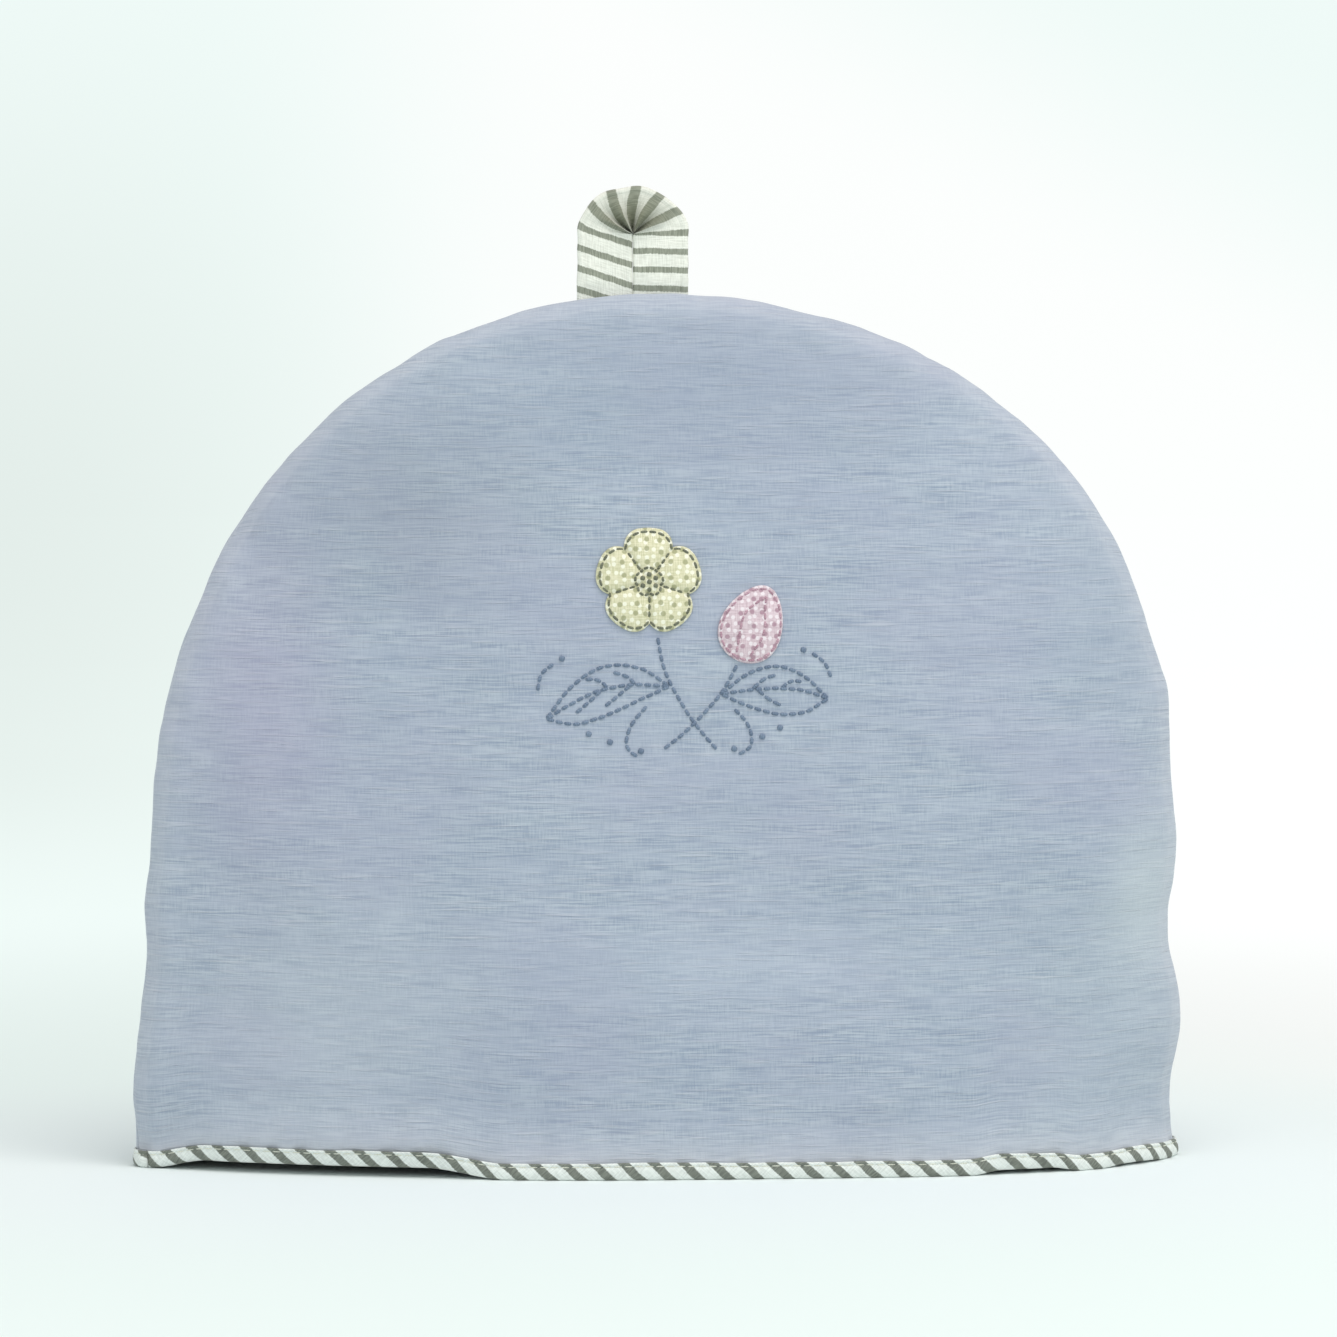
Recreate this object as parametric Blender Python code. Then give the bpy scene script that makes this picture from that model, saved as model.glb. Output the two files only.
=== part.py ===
"""A wadded, half-round tea cosy that stands on its hem with its mouth pushed open.

Metres, +Z up. The front faces -Y. The origin is on the surface it stands on, under the middle of the
mouth. The seam that joins the two panels lies in the XZ plane.
"""

import math
from collections import namedtuple

import bmesh
import bpy
from mathutils import Vector

MM = 0.001
FRONT, BACK = -1, 1
LEFT, RIGHT = -1, 1

# Body
HALF_WIDTH = 164.2 * MM
BODY_HEIGHT = 271.5 * MM
HEM_HALF_DEPTH = 47 * MM  # to the outside of the binding, at the middle of a side
MOUTH_POWER_LEFT = 2.1  # how square the mouth is, seen from above, left and right of its middle
MOUTH_POWER_RIGHT = 5.0
SHOULDER_POWER = 3.8  # how square the dome's shoulders are
RISE_POWER = 1.8  # how long the walls stay upright before they lean to the ridge
RISE_SOFTNESS = 0.9
GAP = 0.3 * MM  # between pieces that touch
WELD = 0.001 * MM  # points this close are one
CREASE_ANGLE = math.radians(50)  # a sharper fold than this is shaded as an edge

# Binding
BINDING_HEIGHT = 5.2 * MM
BINDING_CLOTH = 1.0 * MM
BINDING_TURN = 0.6 * MM  # the rounding of its folded edges
MOUTH_ROOM = 0.1 * MM  # spare, as the walls inside the mouth are flat between columns
PANEL_BASE = BINDING_CLOTH + GAP  # the panels' raw edge lies inside the binding

# Padding, squeezed under the binding, where the cloth flares, and full above it. From the seam
# outward: a groove, the crest of the rolled edge, the roll's far side, the middle and its wall.
Padding = namedtuple("Padding", "groove crest roll edge middle wall cavity_inset")
SQUEEZED = Padding(0.8 * MM, 1.5 * MM, 3.0 * MM, 4.2 * MM, 8.0 * MM, 4.0 * MM, 3.0 * MM)
FULL = Padding(1.6 * MM, 3.0 * MM, 5.0 * MM, 7.2 * MM, 7.2 * MM, 7.0 * MM, 6.0 * MM)
SQUEEZE_TOP = 6.0 * MM
SQUEEZE_EASE = 14 * MM
BOW = HEM_HALF_DEPTH - PANEL_BASE - SQUEEZED.middle
THICKEN_BY = 1 / 3  # share of the bow over which the roll's thickness grows to the middle's

# Mesh of a panel
COLUMNS = 36
ROWS_ABOVE_HEM = 15
HEM_ROWS = (0.0, 8 * MM, 15 * MM, 24 * MM)
ROLL_ANGLES = (60, 30, 0)  # down the outside of the roll to its crest
TUCK_ANGLES = (45, 0)  # from the crest into the groove
EDGE_SEARCH = (0.5, 2.0)  # the dome's edge lies between these shares of its size
EDGE_SEARCH_STEPS = 40

# Hanging loop: a flat strap bent edgewise, its two legs side by side
LOOP_MIDDLE = -9.1 * MM
STRAP_WIDTH = 17.4 * MM
STRAP_THICKNESS = 3.2 * MM
LOOP_SLIT = 0.4 * MM
BEND_ABOVE_RIDGE = 18.8 * MM
BEND_FLATTEN = 0.87  # the bend's height as a share of a round one's
FOOT_DEPTH = 5.0 * MM  # of strap caught between the panels
FOOT_THICKNESS = 2.0 * MM
FOOT_EASE = 5.0 * MM
GATHER = 2.4 * MM  # extra thickness where the bend's inner edge bunches
GATHER_START = -0.4  # across the strap, from its outer edge at -1 to its inner edge at 1
GATHER_EASE = 1.2
BEND_STEPS = 12
LEG_STEPS = 6
POCKET_EASE = 12 * MM  # over which the seam closes beside the strap
POCKET_START = 0.8  # shares of the body's height between which the seam opens for the strap
POCKET_FULL = 0.9

# The strap's cross-section from its outer edge to its inner edge
StrapPoint = namedtuple("StrapPoint", "across fullness")
STRAP_SECTION = (
    StrapPoint(-1.0, 0.0),
    StrapPoint(-0.92, 0.8),
    StrapPoint(-0.4, 1.0),
    StrapPoint(0.4, 1.0),
    StrapPoint(0.92, 0.9),
    StrapPoint(1.0, 0.25),
)

# Sewn-on patches
PATCH_CLOTH = 0.8 * MM
PATCH_GAP = 0.45 * MM
PATCH_STEPS = 40
PATCH_RINGS = 3
BLOSSOM_MIDDLE = (-6 * MM, 183 * MM)
BLOSSOM_RADIUS = 16.5 * MM
BLOSSOM_PETALS = 5
BLOSSOM_NOTCH = 0.22
BUD_MIDDLE = (26 * MM, 170 * MM)
BUD_RADIUS = 9.5 * MM
BUD_LENGTHEN = 1.3
BUD_TAPER = 0.22
BUD_LEAN = math.radians(-24)

# Stretches of hem that lift off the surface
Lift = namedtuple("Lift", "side start full_from full_to end rise")
LIFTS = (
    Lift(FRONT, -161 * MM, -142 * MM, -76 * MM, -50 * MM, 4.2 * MM),
    Lift(FRONT, 134 * MM, 146 * MM, 150 * MM, 161 * MM, 0.8 * MM),
    Lift(BACK, -140 * MM, -118 * MM, -96 * MM, -70 * MM, 1.6 * MM),
    Lift(BACK, 78 * MM, 104 * MM, 128 * MM, 150 * MM, 2.1 * MM),
)
LIFT_FADE = 70 * MM  # height over which a lift dies out

# Soft swellings and hollows of the padding
Dent = namedtuple("Dent", "side x z reach_x reach_z push")
DENTS = (
    Dent(FRONT, -92 * MM, 150 * MM, 34 * MM, 46 * MM, -1.8 * MM),
    Dent(FRONT, -30 * MM, 66 * MM, 46 * MM, 26 * MM, 1.5 * MM),
    Dent(FRONT, 88 * MM, 118 * MM, 40 * MM, 30 * MM, 1.6 * MM),
    Dent(FRONT, 120 * MM, 62 * MM, 26 * MM, 20 * MM, -1.7 * MM),
    Dent(FRONT, 46 * MM, 222 * MM, 38 * MM, 22 * MM, -1.4 * MM),
    Dent(FRONT, -58 * MM, 226 * MM, 30 * MM, 20 * MM, 1.2 * MM),
    Dent(BACK, 70 * MM, 160 * MM, 42 * MM, 40 * MM, -2.2 * MM),
    Dent(BACK, -64 * MM, 104 * MM, 40 * MM, 34 * MM, 1.8 * MM),
    Dent(BACK, 6 * MM, 54 * MM, 50 * MM, 22 * MM, -1.5 * MM),
    Dent(BACK, -40 * MM, 214 * MM, 34 * MM, 26 * MM, -1.4 * MM),
)
SEAM_HOLD = 12 * MM  # the seam itself isn't dented

# Places where the seam's edge wanders in or out on its way up
Wave = namedtuple("Wave", "side z reach push")
WAVES = (
    Wave(RIGHT, 19 * MM, 24 * MM, -3.3 * MM),
    Wave(RIGHT, 58 * MM, 34 * MM, 2.4 * MM),
    Wave(RIGHT, 71 * MM, 20 * MM, -6.0 * MM),
    Wave(RIGHT, 153 * MM, 22 * MM, 2.8 * MM),
    Wave(RIGHT, 195 * MM, 23 * MM, 3.5 * MM),
    Wave(RIGHT, 234 * MM, 24 * MM, 2.5 * MM),
    Wave(LEFT, 26 * MM, 12 * MM, 1.3 * MM),
    Wave(LEFT, 63 * MM, 16 * MM, -2.5 * MM),
    Wave(LEFT, 90 * MM, 15 * MM, -1.5 * MM),
    Wave(LEFT, 111 * MM, 27 * MM, -1.8 * MM),
    Wave(LEFT, 139 * MM, 27 * MM, -1.5 * MM),
    Wave(LEFT, 187 * MM, 30 * MM, -3.6 * MM),
    Wave(LEFT, 232 * MM, 26 * MM, -4.8 * MM),
)
WAVE_REACH_IN = 0.3  # share of the half width that a wave moves
BELL_SHARPNESS = 1.5

# Finishes: sRGB colour, roughness
Finish = namedtuple("Finish", "red green blue roughness")
CHAMBRAY = Finish(169, 181, 196, 0.9)
CHAMBRAY_BACK = Finish(165, 177, 193, 0.9)
TICKING = Finish(206, 209, 196, 0.85)
TICKING_STRAP = Finish(212, 214, 200, 0.85)
YELLOW_COTTON = Finish(222, 226, 172, 0.85)
PINK_COTTON = Finish(216, 184, 196, 0.85)


def mix(start, end, share):
    return start + (end - start) * share


def ease(value):
    """Run smoothly from 0 to 1 as the value does."""
    value = min(max(value, 0.0), 1.0)
    return value * value * (3 - 2 * value)


def bell(distance):
    """A soft bump: 1 at its middle, nothing beyond two reaches."""
    return ease(1 - abs(distance) / 2) ** BELL_SHARPNESS


def mouth_power(x):
    return MOUTH_POWER_LEFT if x < 0 else MOUTH_POWER_RIGHT


def stand_out(share):
    """How far a wall bows out at a share of the half width: 1 in the middle, 0 at the seam."""
    return max(1 - abs(share) ** mouth_power(share), 0.0)


def round_off(u, v):
    """Spread the square -1..1 by 0..1 over a half disc."""
    return u * math.sqrt(1 - v * v / 2), v * math.sqrt(1 - u * u / 2)


class Dome:
    """The half-round shape of a panel's outer or inner face, bowed out of the seam plane."""

    def __init__(self, half_width, height, bow):
        self.half_width = half_width
        self.height = height
        self.bow = bow

    def width_at(self, z):
        share = min(max((z - PANEL_BASE) / self.height, 0.0), 1.0)
        return self.half_width * math.sqrt(1 - share**SHOULDER_POWER)

    def bow_at(self, x, z):
        share = min(max((z - PANEL_BASE) / self.height, 0.0), 1.0)
        width = max(self.width_at(z), MM)
        rise = (1 - share**RISE_POWER) ** RISE_SOFTNESS
        return self.bow * rise * stand_out(x / width)

    def edge(self, across, up):
        """Where a ray from the middle of the mouth, given in shares of the size, meets the edge."""
        near, far = EDGE_SEARCH
        for _ in range(EDGE_SEARCH_STEPS):
            reach = (near + far) / 2
            inside = (reach * across) ** 2 + (reach * up) ** SHOULDER_POWER < 1
            near, far = (reach, far) if inside else (near, reach)
        return Vector((near * across * self.half_width, near * up * self.height))

    def inward(self, edge):
        """Unit vector from a point of the edge straight into the panel."""
        across = 2 * edge.x / self.half_width**2
        up = SHOULDER_POWER * (edge.y / self.height) ** (SHOULDER_POWER - 1) / self.height
        return -Vector((across, up)).normalized()

    def inside(self, u, v, inset):
        """Spread the square -1..1 by 0..1 over the dome, its border an inset inside the edge."""
        across, up = round_off(u, v)
        radius = math.hypot(across, up)
        if radius == 0:
            return 0.0, PANEL_BASE
        edge = self.edge(across / radius, up / radius)
        border = edge + self.inward(edge) * inset(edge.y)
        return border.x * radius, border.y * radius + PANEL_BASE


OUTSIDE = Dome(HALF_WIDTH, BODY_HEIGHT - PANEL_BASE, BOW)
CAVITY = Dome(
    HALF_WIDTH - FULL.cavity_inset,
    BODY_HEIGHT - PANEL_BASE - FULL.cavity_inset,
    BOW + FULL.middle - FULL.wall - GAP / 2,
)


def settle(x, y, z):
    """Move a point of the evenly made cosy to where the standing cloth has it."""
    side = FRONT if y < 0 else BACK
    hand = LEFT if x < 0 else RIGHT
    loose = ease(abs(y) / SEAM_HOLD)
    lift, dent, wave = 0.0, 0.0, 0.0
    for row in LIFTS:
        if row.side == side:
            rising = ease((x - row.start) / (row.full_from - row.start))
            falling = ease((row.end - x) / (row.end - row.full_to))
            lift += row.rise * rising * falling
    for row in DENTS:
        if row.side == side:
            away = math.hypot((x - row.x) / row.reach_x, (z - row.z) / row.reach_z)
            dent += row.push * bell(away)
    for row in WAVES:
        if row.side == hand:
            wave += row.push * bell((z - row.z) / row.reach)
    edge_share = abs(x) / max(OUTSIDE.width_at(z), MM)
    near_edge = ease(1 - (1 - edge_share) / WAVE_REACH_IN)
    return Vector((
        x + hand * wave * near_edge,
        y + side * dent * loose,
        z + lift * ease(1 - z / LIFT_FADE),
    ))


def padding(height):
    """The padding's sizes at a height above the panels' raw edge."""
    fullness = ease((height - SQUEEZE_TOP + PANEL_BASE) / SQUEEZE_EASE)
    return Padding(*(mix(low, high, fullness) for low, high in zip(SQUEEZED, FULL)))


def seam_face(x, z):
    """Half the space between the panels at the seam, wider where the strap passes."""
    beside = abs(x - LOOP_MIDDLE) - (STRAP_WIDTH + LOOP_SLIT / 2 + GAP)
    opening = (z / BODY_HEIGHT - POCKET_START) / (POCKET_FULL - POCKET_START)
    pocket = ease(1 - beside / POCKET_EASE) * ease(opening)
    return GAP / 2 + pocket * (FOOT_THICKNESS + GAP) / 2


def outer_face(x, z):
    """Distance of the panel's outer face from the seam plane, inside the roll."""
    pad = padding(z - PANEL_BASE)
    bow = OUTSIDE.bow_at(x, z)
    return mix(pad.edge, pad.middle, min(bow / (BOW * THICKEN_BY), 1.0)) + bow


def cavity_face(x, z):
    """Distance of the panel's inner face from the seam plane."""
    pad = padding(z - PANEL_BASE)
    extra = (FULL.middle - FULL.wall) - (pad.middle - pad.wall)
    bow = CAVITY.bow_at(x, z)
    return seam_face(x, z) + bow * (1 - extra / CAVITY.bow)


def column_shares():
    return [2 * i / COLUMNS - 1 for i in range(COLUMNS + 1)]


def row_shares():
    start = HEM_ROWS[-1] / BODY_HEIGHT
    upper = [mix(start, 1.0, j / ROWS_ABOVE_HEM) for j in range(1, ROWS_ABOVE_HEM + 1)]
    return [height / BODY_HEIGHT for height in HEM_ROWS] + upper


def border(grid):
    """A grid's vertices up its left side, over the top and down its right side."""
    left = [row[0] for row in grid]
    right = [row[-1] for row in reversed(grid)]
    return left + grid[-1][1:-1] + right


def weave(bm, rows, closed=False):
    """Fill the quads between neighbouring rows of vertices."""
    for lower, upper in zip(rows, rows[1:]):
        for i in range(len(lower) - (0 if closed else 1)):
            j = (i + 1) % len(lower)
            bm.faces.new((lower[i], lower[j], upper[j], upper[i]))


def finish(name, bm, look):
    """Turn a mesh under construction into a named, shaded object with its own material."""
    bmesh.ops.remove_doubles(bm, verts=bm.verts, dist=WELD)
    bmesh.ops.recalc_face_normals(bm, faces=bm.faces)
    mesh = bpy.data.meshes.new(name)
    bm.to_mesh(mesh)
    bm.free()
    mesh.shade_smooth()
    mesh.set_sharp_from_angle(angle=CREASE_ANGLE)
    item = bpy.data.objects.new(name, mesh)
    bpy.context.collection.objects.link(item)
    material = bpy.data.materials.new(name)
    material.use_nodes = True
    shader = material.node_tree.nodes["Principled BSDF"]
    linear = [(channel / 255) ** 2.2 for channel in (look.red, look.green, look.blue)]
    shader.inputs["Base Color"].default_value = (*linear, 1)
    shader.inputs["Roughness"].default_value = look.roughness
    shader.inputs["Metallic"].default_value = 0.0
    mesh.materials.append(material)


def make_panel(name, side, look):
    """A padded panel: outer face, rolled edge, seam strip, inner face and raw hem edge."""
    bm = bmesh.new()

    def vertex(x, depth, z):
        return bm.verts.new(settle(x, side * depth, z))

    outer, inner = [], []
    for v in row_shares():
        outer_row, inner_row = [], []
        for u in column_shares():
            x, z = OUTSIDE.inside(u, v, lambda height: padding(height).roll)
            outer_row.append(vertex(x, outer_face(x, z), z))
            x, z = CAVITY.inside(u, v, lambda height: 0.0)
            widen = (HALF_WIDTH - padding(z - PANEL_BASE).cavity_inset) / CAVITY.half_width
            inner_row.append(vertex(x * widen, cavity_face(x, z), z))
        outer.append(outer_row)
        inner.append(inner_row)

    stops = [(-1, v) for v in row_shares()]
    stops += [(u, 1) for u in column_shares()[1:-1]]
    stops += [(1, v) for v in reversed(row_shares())]
    rings = [[] for _ in ROLL_ANGLES + TUCK_ANGLES]
    for u, v in stops:
        edge = OUTSIDE.edge(*round_off(u, v))
        inward = OUTSIDE.inward(edge)
        pad = padding(edge.y)
        seam = seam_face(edge.x, edge.y + PANEL_BASE)
        crest = max(pad.crest, seam + GAP)
        profile = []
        for angle in map(math.radians, ROLL_ANGLES):
            inset = pad.roll * (1 - math.cos(angle))
            profile.append((inset, mix(crest, pad.edge, math.sin(angle)), True))
        for angle in map(math.radians, TUCK_ANGLES):
            inset = pad.groove * (1 - math.sin(angle))
            profile.append((inset, mix(seam, crest, 1 - math.cos(angle)), False))
        for ring, (inset, depth, bowed) in zip(rings, profile):
            place = edge + inward * inset
            x, z = place.x, place.y + PANEL_BASE
            ring.append(vertex(x, depth + (OUTSIDE.bow_at(x, z) if bowed else 0.0), z))

    weave(bm, outer)
    weave(bm, inner)
    weave(bm, [border(outer), *rings, border(inner)])
    weave(bm, [outer[0], inner[0]])
    for end in (0, -1):
        bm.faces.new([border(outer)[end], *(ring[end] for ring in rings), border(inner)[end]])
    finish(name, bm, look)


def hem_stations():
    """Places along one side's hem, as (x, distance of the panel's outside from the seam plane)."""
    columns = [share * (HALF_WIDTH - SQUEEZED.roll) for share in column_shares()]
    middle = [(x, outer_face(x, PANEL_BASE)) for x in columns]
    roll = []
    for angle in map(math.radians, ROLL_ANGLES):
        x = HALF_WIDTH - SQUEEZED.roll * (1 - math.cos(angle))
        depth = mix(SQUEEZED.crest, SQUEEZED.edge, math.sin(angle)) + OUTSIDE.bow_at(x, PANEL_BASE)
        roll.append((x, depth))
    return [(-x, depth) for x, depth in reversed(roll)] + middle + roll


def hem_outside(clearance):
    """The closed line round both panels' hems, moved outward by a clearance."""
    front = [Vector((x, -depth)) for x, depth in hem_stations()]
    back = [Vector((x, depth)) for x, depth in reversed(hem_stations())]
    line = front + back
    moved = []
    for i, point in enumerate(line):
        along = (line[(i + 1) % len(line)] - line[i - 1]).normalized()
        moved.append(point + Vector((along.y, -along.x)) * clearance)
    return moved


def hem_inside(clearance):
    """The closed line round the mouth, moved inward by a clearance."""
    half_width = HALF_WIDTH - SQUEEZED.cavity_inset
    half_depth = cavity_face(0.0, PANEL_BASE)
    clearance += MOUTH_ROOM
    front = []
    for share in (x / HALF_WIDTH for x, _ in hem_stations()):
        slope = math.atan(mouth_power(share) * half_depth / half_width)
        reach = half_width - clearance / math.sin(slope)
        front.append(Vector((share * reach, -(half_depth - clearance) * stand_out(share))))
    return front + [Vector((point.x, -point.y)) for point in reversed(front)]


def make_binding(name, look):
    """The ring of ticking folded over the hem: outside, flat underside, inside, then the fold's inside."""
    outermost = GAP + BINDING_CLOTH
    section = (
        (hem_outside, outermost - BINDING_TURN / 2, BINDING_HEIGHT),
        (hem_outside, outermost, BINDING_HEIGHT - BINDING_TURN),
        (hem_outside, outermost, BINDING_TURN),
        (hem_outside, outermost - BINDING_TURN, 0.0),
        (hem_inside, outermost - BINDING_TURN, 0.0),
        (hem_inside, outermost, BINDING_TURN),
        (hem_inside, outermost, BINDING_HEIGHT - BINDING_TURN),
        (hem_inside, outermost - BINDING_TURN / 2, BINDING_HEIGHT),
        (hem_inside, GAP, BINDING_HEIGHT),
        (hem_inside, GAP, BINDING_CLOTH),
        (hem_outside, GAP, BINDING_CLOTH),
        (hem_outside, GAP, BINDING_HEIGHT),
    )
    bm = bmesh.new()
    rings = []
    for line, clearance, height in section:
        rings.append([bm.verts.new(settle(p.x, p.y, height)) for p in line(clearance)])
    weave(bm, [*rings, rings[0]], closed=True)
    finish(name, bm, look)


def strap_route():
    """Points of the strap's middle line, each with its inward direction and share of the bend."""
    centre = Vector((LOOP_MIDDLE, 0, BODY_HEIGHT + BEND_ABOVE_RIDGE))
    radius = (STRAP_WIDTH + LOOP_SLIT) / 2
    length = BEND_ABOVE_RIDGE + FOOT_DEPTH
    route = []
    for side, steps in ((LEFT, range(LEG_STEPS, 0, -1)), (RIGHT, range(1, LEG_STEPS + 1))):
        leg = []
        for step in steps:
            drop = length * step / LEG_STEPS
            leg.append((centre + Vector((side * radius, 0, -drop)), Vector((-side, 0, 0)), 0.0))
        route.append(leg)
    bend = []
    for step in range(BEND_STEPS + 1):
        angle = math.pi * step / BEND_STEPS
        outward = Vector((-math.cos(angle), 0, math.sin(angle) * BEND_FLATTEN))
        bend.append((centre + outward * radius, -outward, math.sin(angle)))
    return route[0] + bend + route[1]


def make_loop(name, look):
    """The flat strap swept along its edgewise bend, thin at the foot and bunched inside the bend."""
    bm = bmesh.new()
    rows = []
    for middle, inward, bend in strap_route():
        above_ridge = (middle.z - BODY_HEIGHT) / FOOT_EASE
        thickness = mix(FOOT_THICKNESS, STRAP_THICKNESS, ease(above_ridge))
        section = []
        for point in STRAP_SECTION:
            bunch = GATHER * bend * ease((point.across - GATHER_START) / GATHER_EASE)
            spread = (thickness + bunch) / 2 * point.fullness
            section.append((middle + inward * STRAP_WIDTH / 2 * point.across, spread))
        front = [bm.verts.new(p + Vector((0, -spread, 0))) for p, spread in section]
        back = [bm.verts.new(p + Vector((0, spread, 0))) for p, spread in reversed(section)]
        rows.append(front + back)
    weave(bm, rows, closed=True)
    bmesh.ops.remove_doubles(bm, verts=bm.verts, dist=WELD)
    bmesh.ops.holes_fill(bm, edges=[edge for edge in bm.edges if edge.is_boundary])
    finish(name, bm, look)


def make_patch(name, look, middle, outline):
    """A cut-out cloth shape laid on the front panel, its outline given as a distance for each angle."""
    bm = bmesh.new()
    faces = []
    for lift in (PATCH_GAP, PATCH_GAP + PATCH_CLOTH):
        rings = []
        for ring in range(PATCH_RINGS + 1):
            row = []
            for step in range(PATCH_STEPS):
                away = outline(2 * math.pi * step / PATCH_STEPS) * ring / PATCH_RINGS
                x, z = middle[0] + away.x, middle[1] + away.y
                row.append(bm.verts.new(settle(x, -outer_face(x, z) - lift, z)))
            rings.append(row)
        weave(bm, rings, closed=True)
        faces.append(rings[-1])
    weave(bm, faces, closed=True)
    finish(name, bm, look)


def blossom_outline(angle):
    dip = abs(math.cos(BLOSSOM_PETALS * angle / 2))
    radius = BLOSSOM_RADIUS * (1 - BLOSSOM_NOTCH * (1 - dip) ** 2)
    return Vector((math.sin(angle), math.cos(angle))) * radius


def bud_outline(angle):
    """An egg, narrower at its tip, leaning to one side."""
    x = BUD_RADIUS * math.sin(angle) * (1 - BUD_TAPER * math.cos(angle))
    z = BUD_RADIUS * BUD_LENGTHEN * math.cos(angle)
    turn = math.cos(BUD_LEAN), math.sin(BUD_LEAN)
    return Vector((x * turn[0] - z * turn[1], x * turn[1] + z * turn[0]))


def main():
    for item in list(bpy.data.objects):
        bpy.data.objects.remove(item)
    make_panel("front_panel", FRONT, CHAMBRAY)
    make_panel("back_panel", BACK, CHAMBRAY_BACK)
    make_binding("hem_binding", TICKING)
    make_loop("hanging_loop", TICKING_STRAP)
    make_patch("blossom_patch", YELLOW_COTTON, BLOSSOM_MIDDLE, blossom_outline)
    make_patch("bud_patch", PINK_COTTON, BUD_MIDDLE, bud_outline)


main()
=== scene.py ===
import math

import bmesh
import bpy
import numpy as np
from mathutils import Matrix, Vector, noise
from mathutils.bvhtree import BVHTree


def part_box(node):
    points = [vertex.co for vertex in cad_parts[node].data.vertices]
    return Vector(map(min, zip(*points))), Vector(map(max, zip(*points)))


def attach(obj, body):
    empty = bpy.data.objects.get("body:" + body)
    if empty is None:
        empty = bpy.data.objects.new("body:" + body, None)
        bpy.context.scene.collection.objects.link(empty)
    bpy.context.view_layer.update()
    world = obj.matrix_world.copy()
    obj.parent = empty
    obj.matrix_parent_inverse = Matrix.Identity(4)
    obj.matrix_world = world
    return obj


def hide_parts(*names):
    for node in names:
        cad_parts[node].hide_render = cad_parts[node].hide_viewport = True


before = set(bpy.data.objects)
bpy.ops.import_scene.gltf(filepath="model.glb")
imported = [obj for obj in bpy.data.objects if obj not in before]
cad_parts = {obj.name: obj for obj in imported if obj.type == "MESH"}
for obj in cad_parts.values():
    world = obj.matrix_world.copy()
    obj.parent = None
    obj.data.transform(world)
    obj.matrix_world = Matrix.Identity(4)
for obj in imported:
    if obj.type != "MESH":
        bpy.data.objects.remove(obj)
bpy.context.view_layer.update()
mm = 0.001
front, back = -1, 1  # which side of the seam, along y
left, right = -1, 1


def mix(start, end, share):
    return start + (end - start) * share


def ease(value):  # runs smoothly from 0 to 1 as the value does
    value = np.clip(value, 0.0, 1.0)
    return value * value * (3 - 2 * value)


def ramp(value, start, end):  # 0 at the start and 1 at the end, whichever is higher
    return ease((value - start) / (end - start))


def bell(distance):  # a soft bump: 1 in its middle, nothing beyond two reaches
    return ease(1 - np.abs(distance) / 2) ** 1.5


def wander(places, reach, seed):  # smooth unevenness, mostly from -0.5 to 0.5
    shift = Vector((3.7, 1.3, 5.1)) * seed
    return np.array([noise.noise(Vector(place) / reach + shift) for place in places])


def wanderAlong(distances, seed, *layers):  # the same along a line, from layers of reach and height
    places = together(distances, 0.0, 0.0)
    return sum(height * wander(places, reach, seed + number) for number, (reach, height) in enumerate(layers))


def together(*parts):  # rows of coordinates from one array for each axis
    return np.stack(np.broadcast_arrays(*parts), axis=-1)


def travel(steps):  # how far along a line each point is, from the lengths between them
    return np.concatenate([[0.0], np.cumsum(steps)])


def numbers(start, count):  # the numbers of the next vertices
    return list(range(start, start + count))


def linear(red, green, blue):  # a colour as a screen shows it, for a shader
    channels = []
    for value in (red, green, blue):
        value /= 255
        channels.append(value / 12.92 if value < 0.04045 else ((value + 0.055) / 1.055) ** 2.4)
    return (*channels, 1.0)


# Shader nodes

class Value:  # a socket that can be used in sums
    def __init__(self, paint, socket):
        self.paint, self.socket = paint, socket

    def sum(self, operation, *terms):
        return self.paint.add("Math", {"operation": operation}, dict(enumerate(terms)))

    def __add__(self, other):
        return self.sum("ADD", self, other)

    def __sub__(self, other):
        return self.sum("SUBTRACT", self, other)

    def __rsub__(self, other):
        return self.sum("SUBTRACT", other, self)

    def __mul__(self, other):
        return self.sum("MULTIPLY", self, other)

    def __truediv__(self, other):
        return self.sum("DIVIDE", self, other)

    def __rtruediv__(self, other):
        return self.sum("DIVIDE", other, self)

    __radd__ = __add__
    __rmul__ = __mul__

    def fraction(self):
        return self.sum("FRACT", self)

    def size(self):
        return self.sum("ABSOLUTE", self)

    def between(self, low, high):  # 0 below the low value, 1 above the high one
        sockets = {"Value": self, "From Min": low, "From Max": high}
        return self.paint.add("MapRange", {"interpolation_type": "SMOOTHSTEP"}, sockets)


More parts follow.
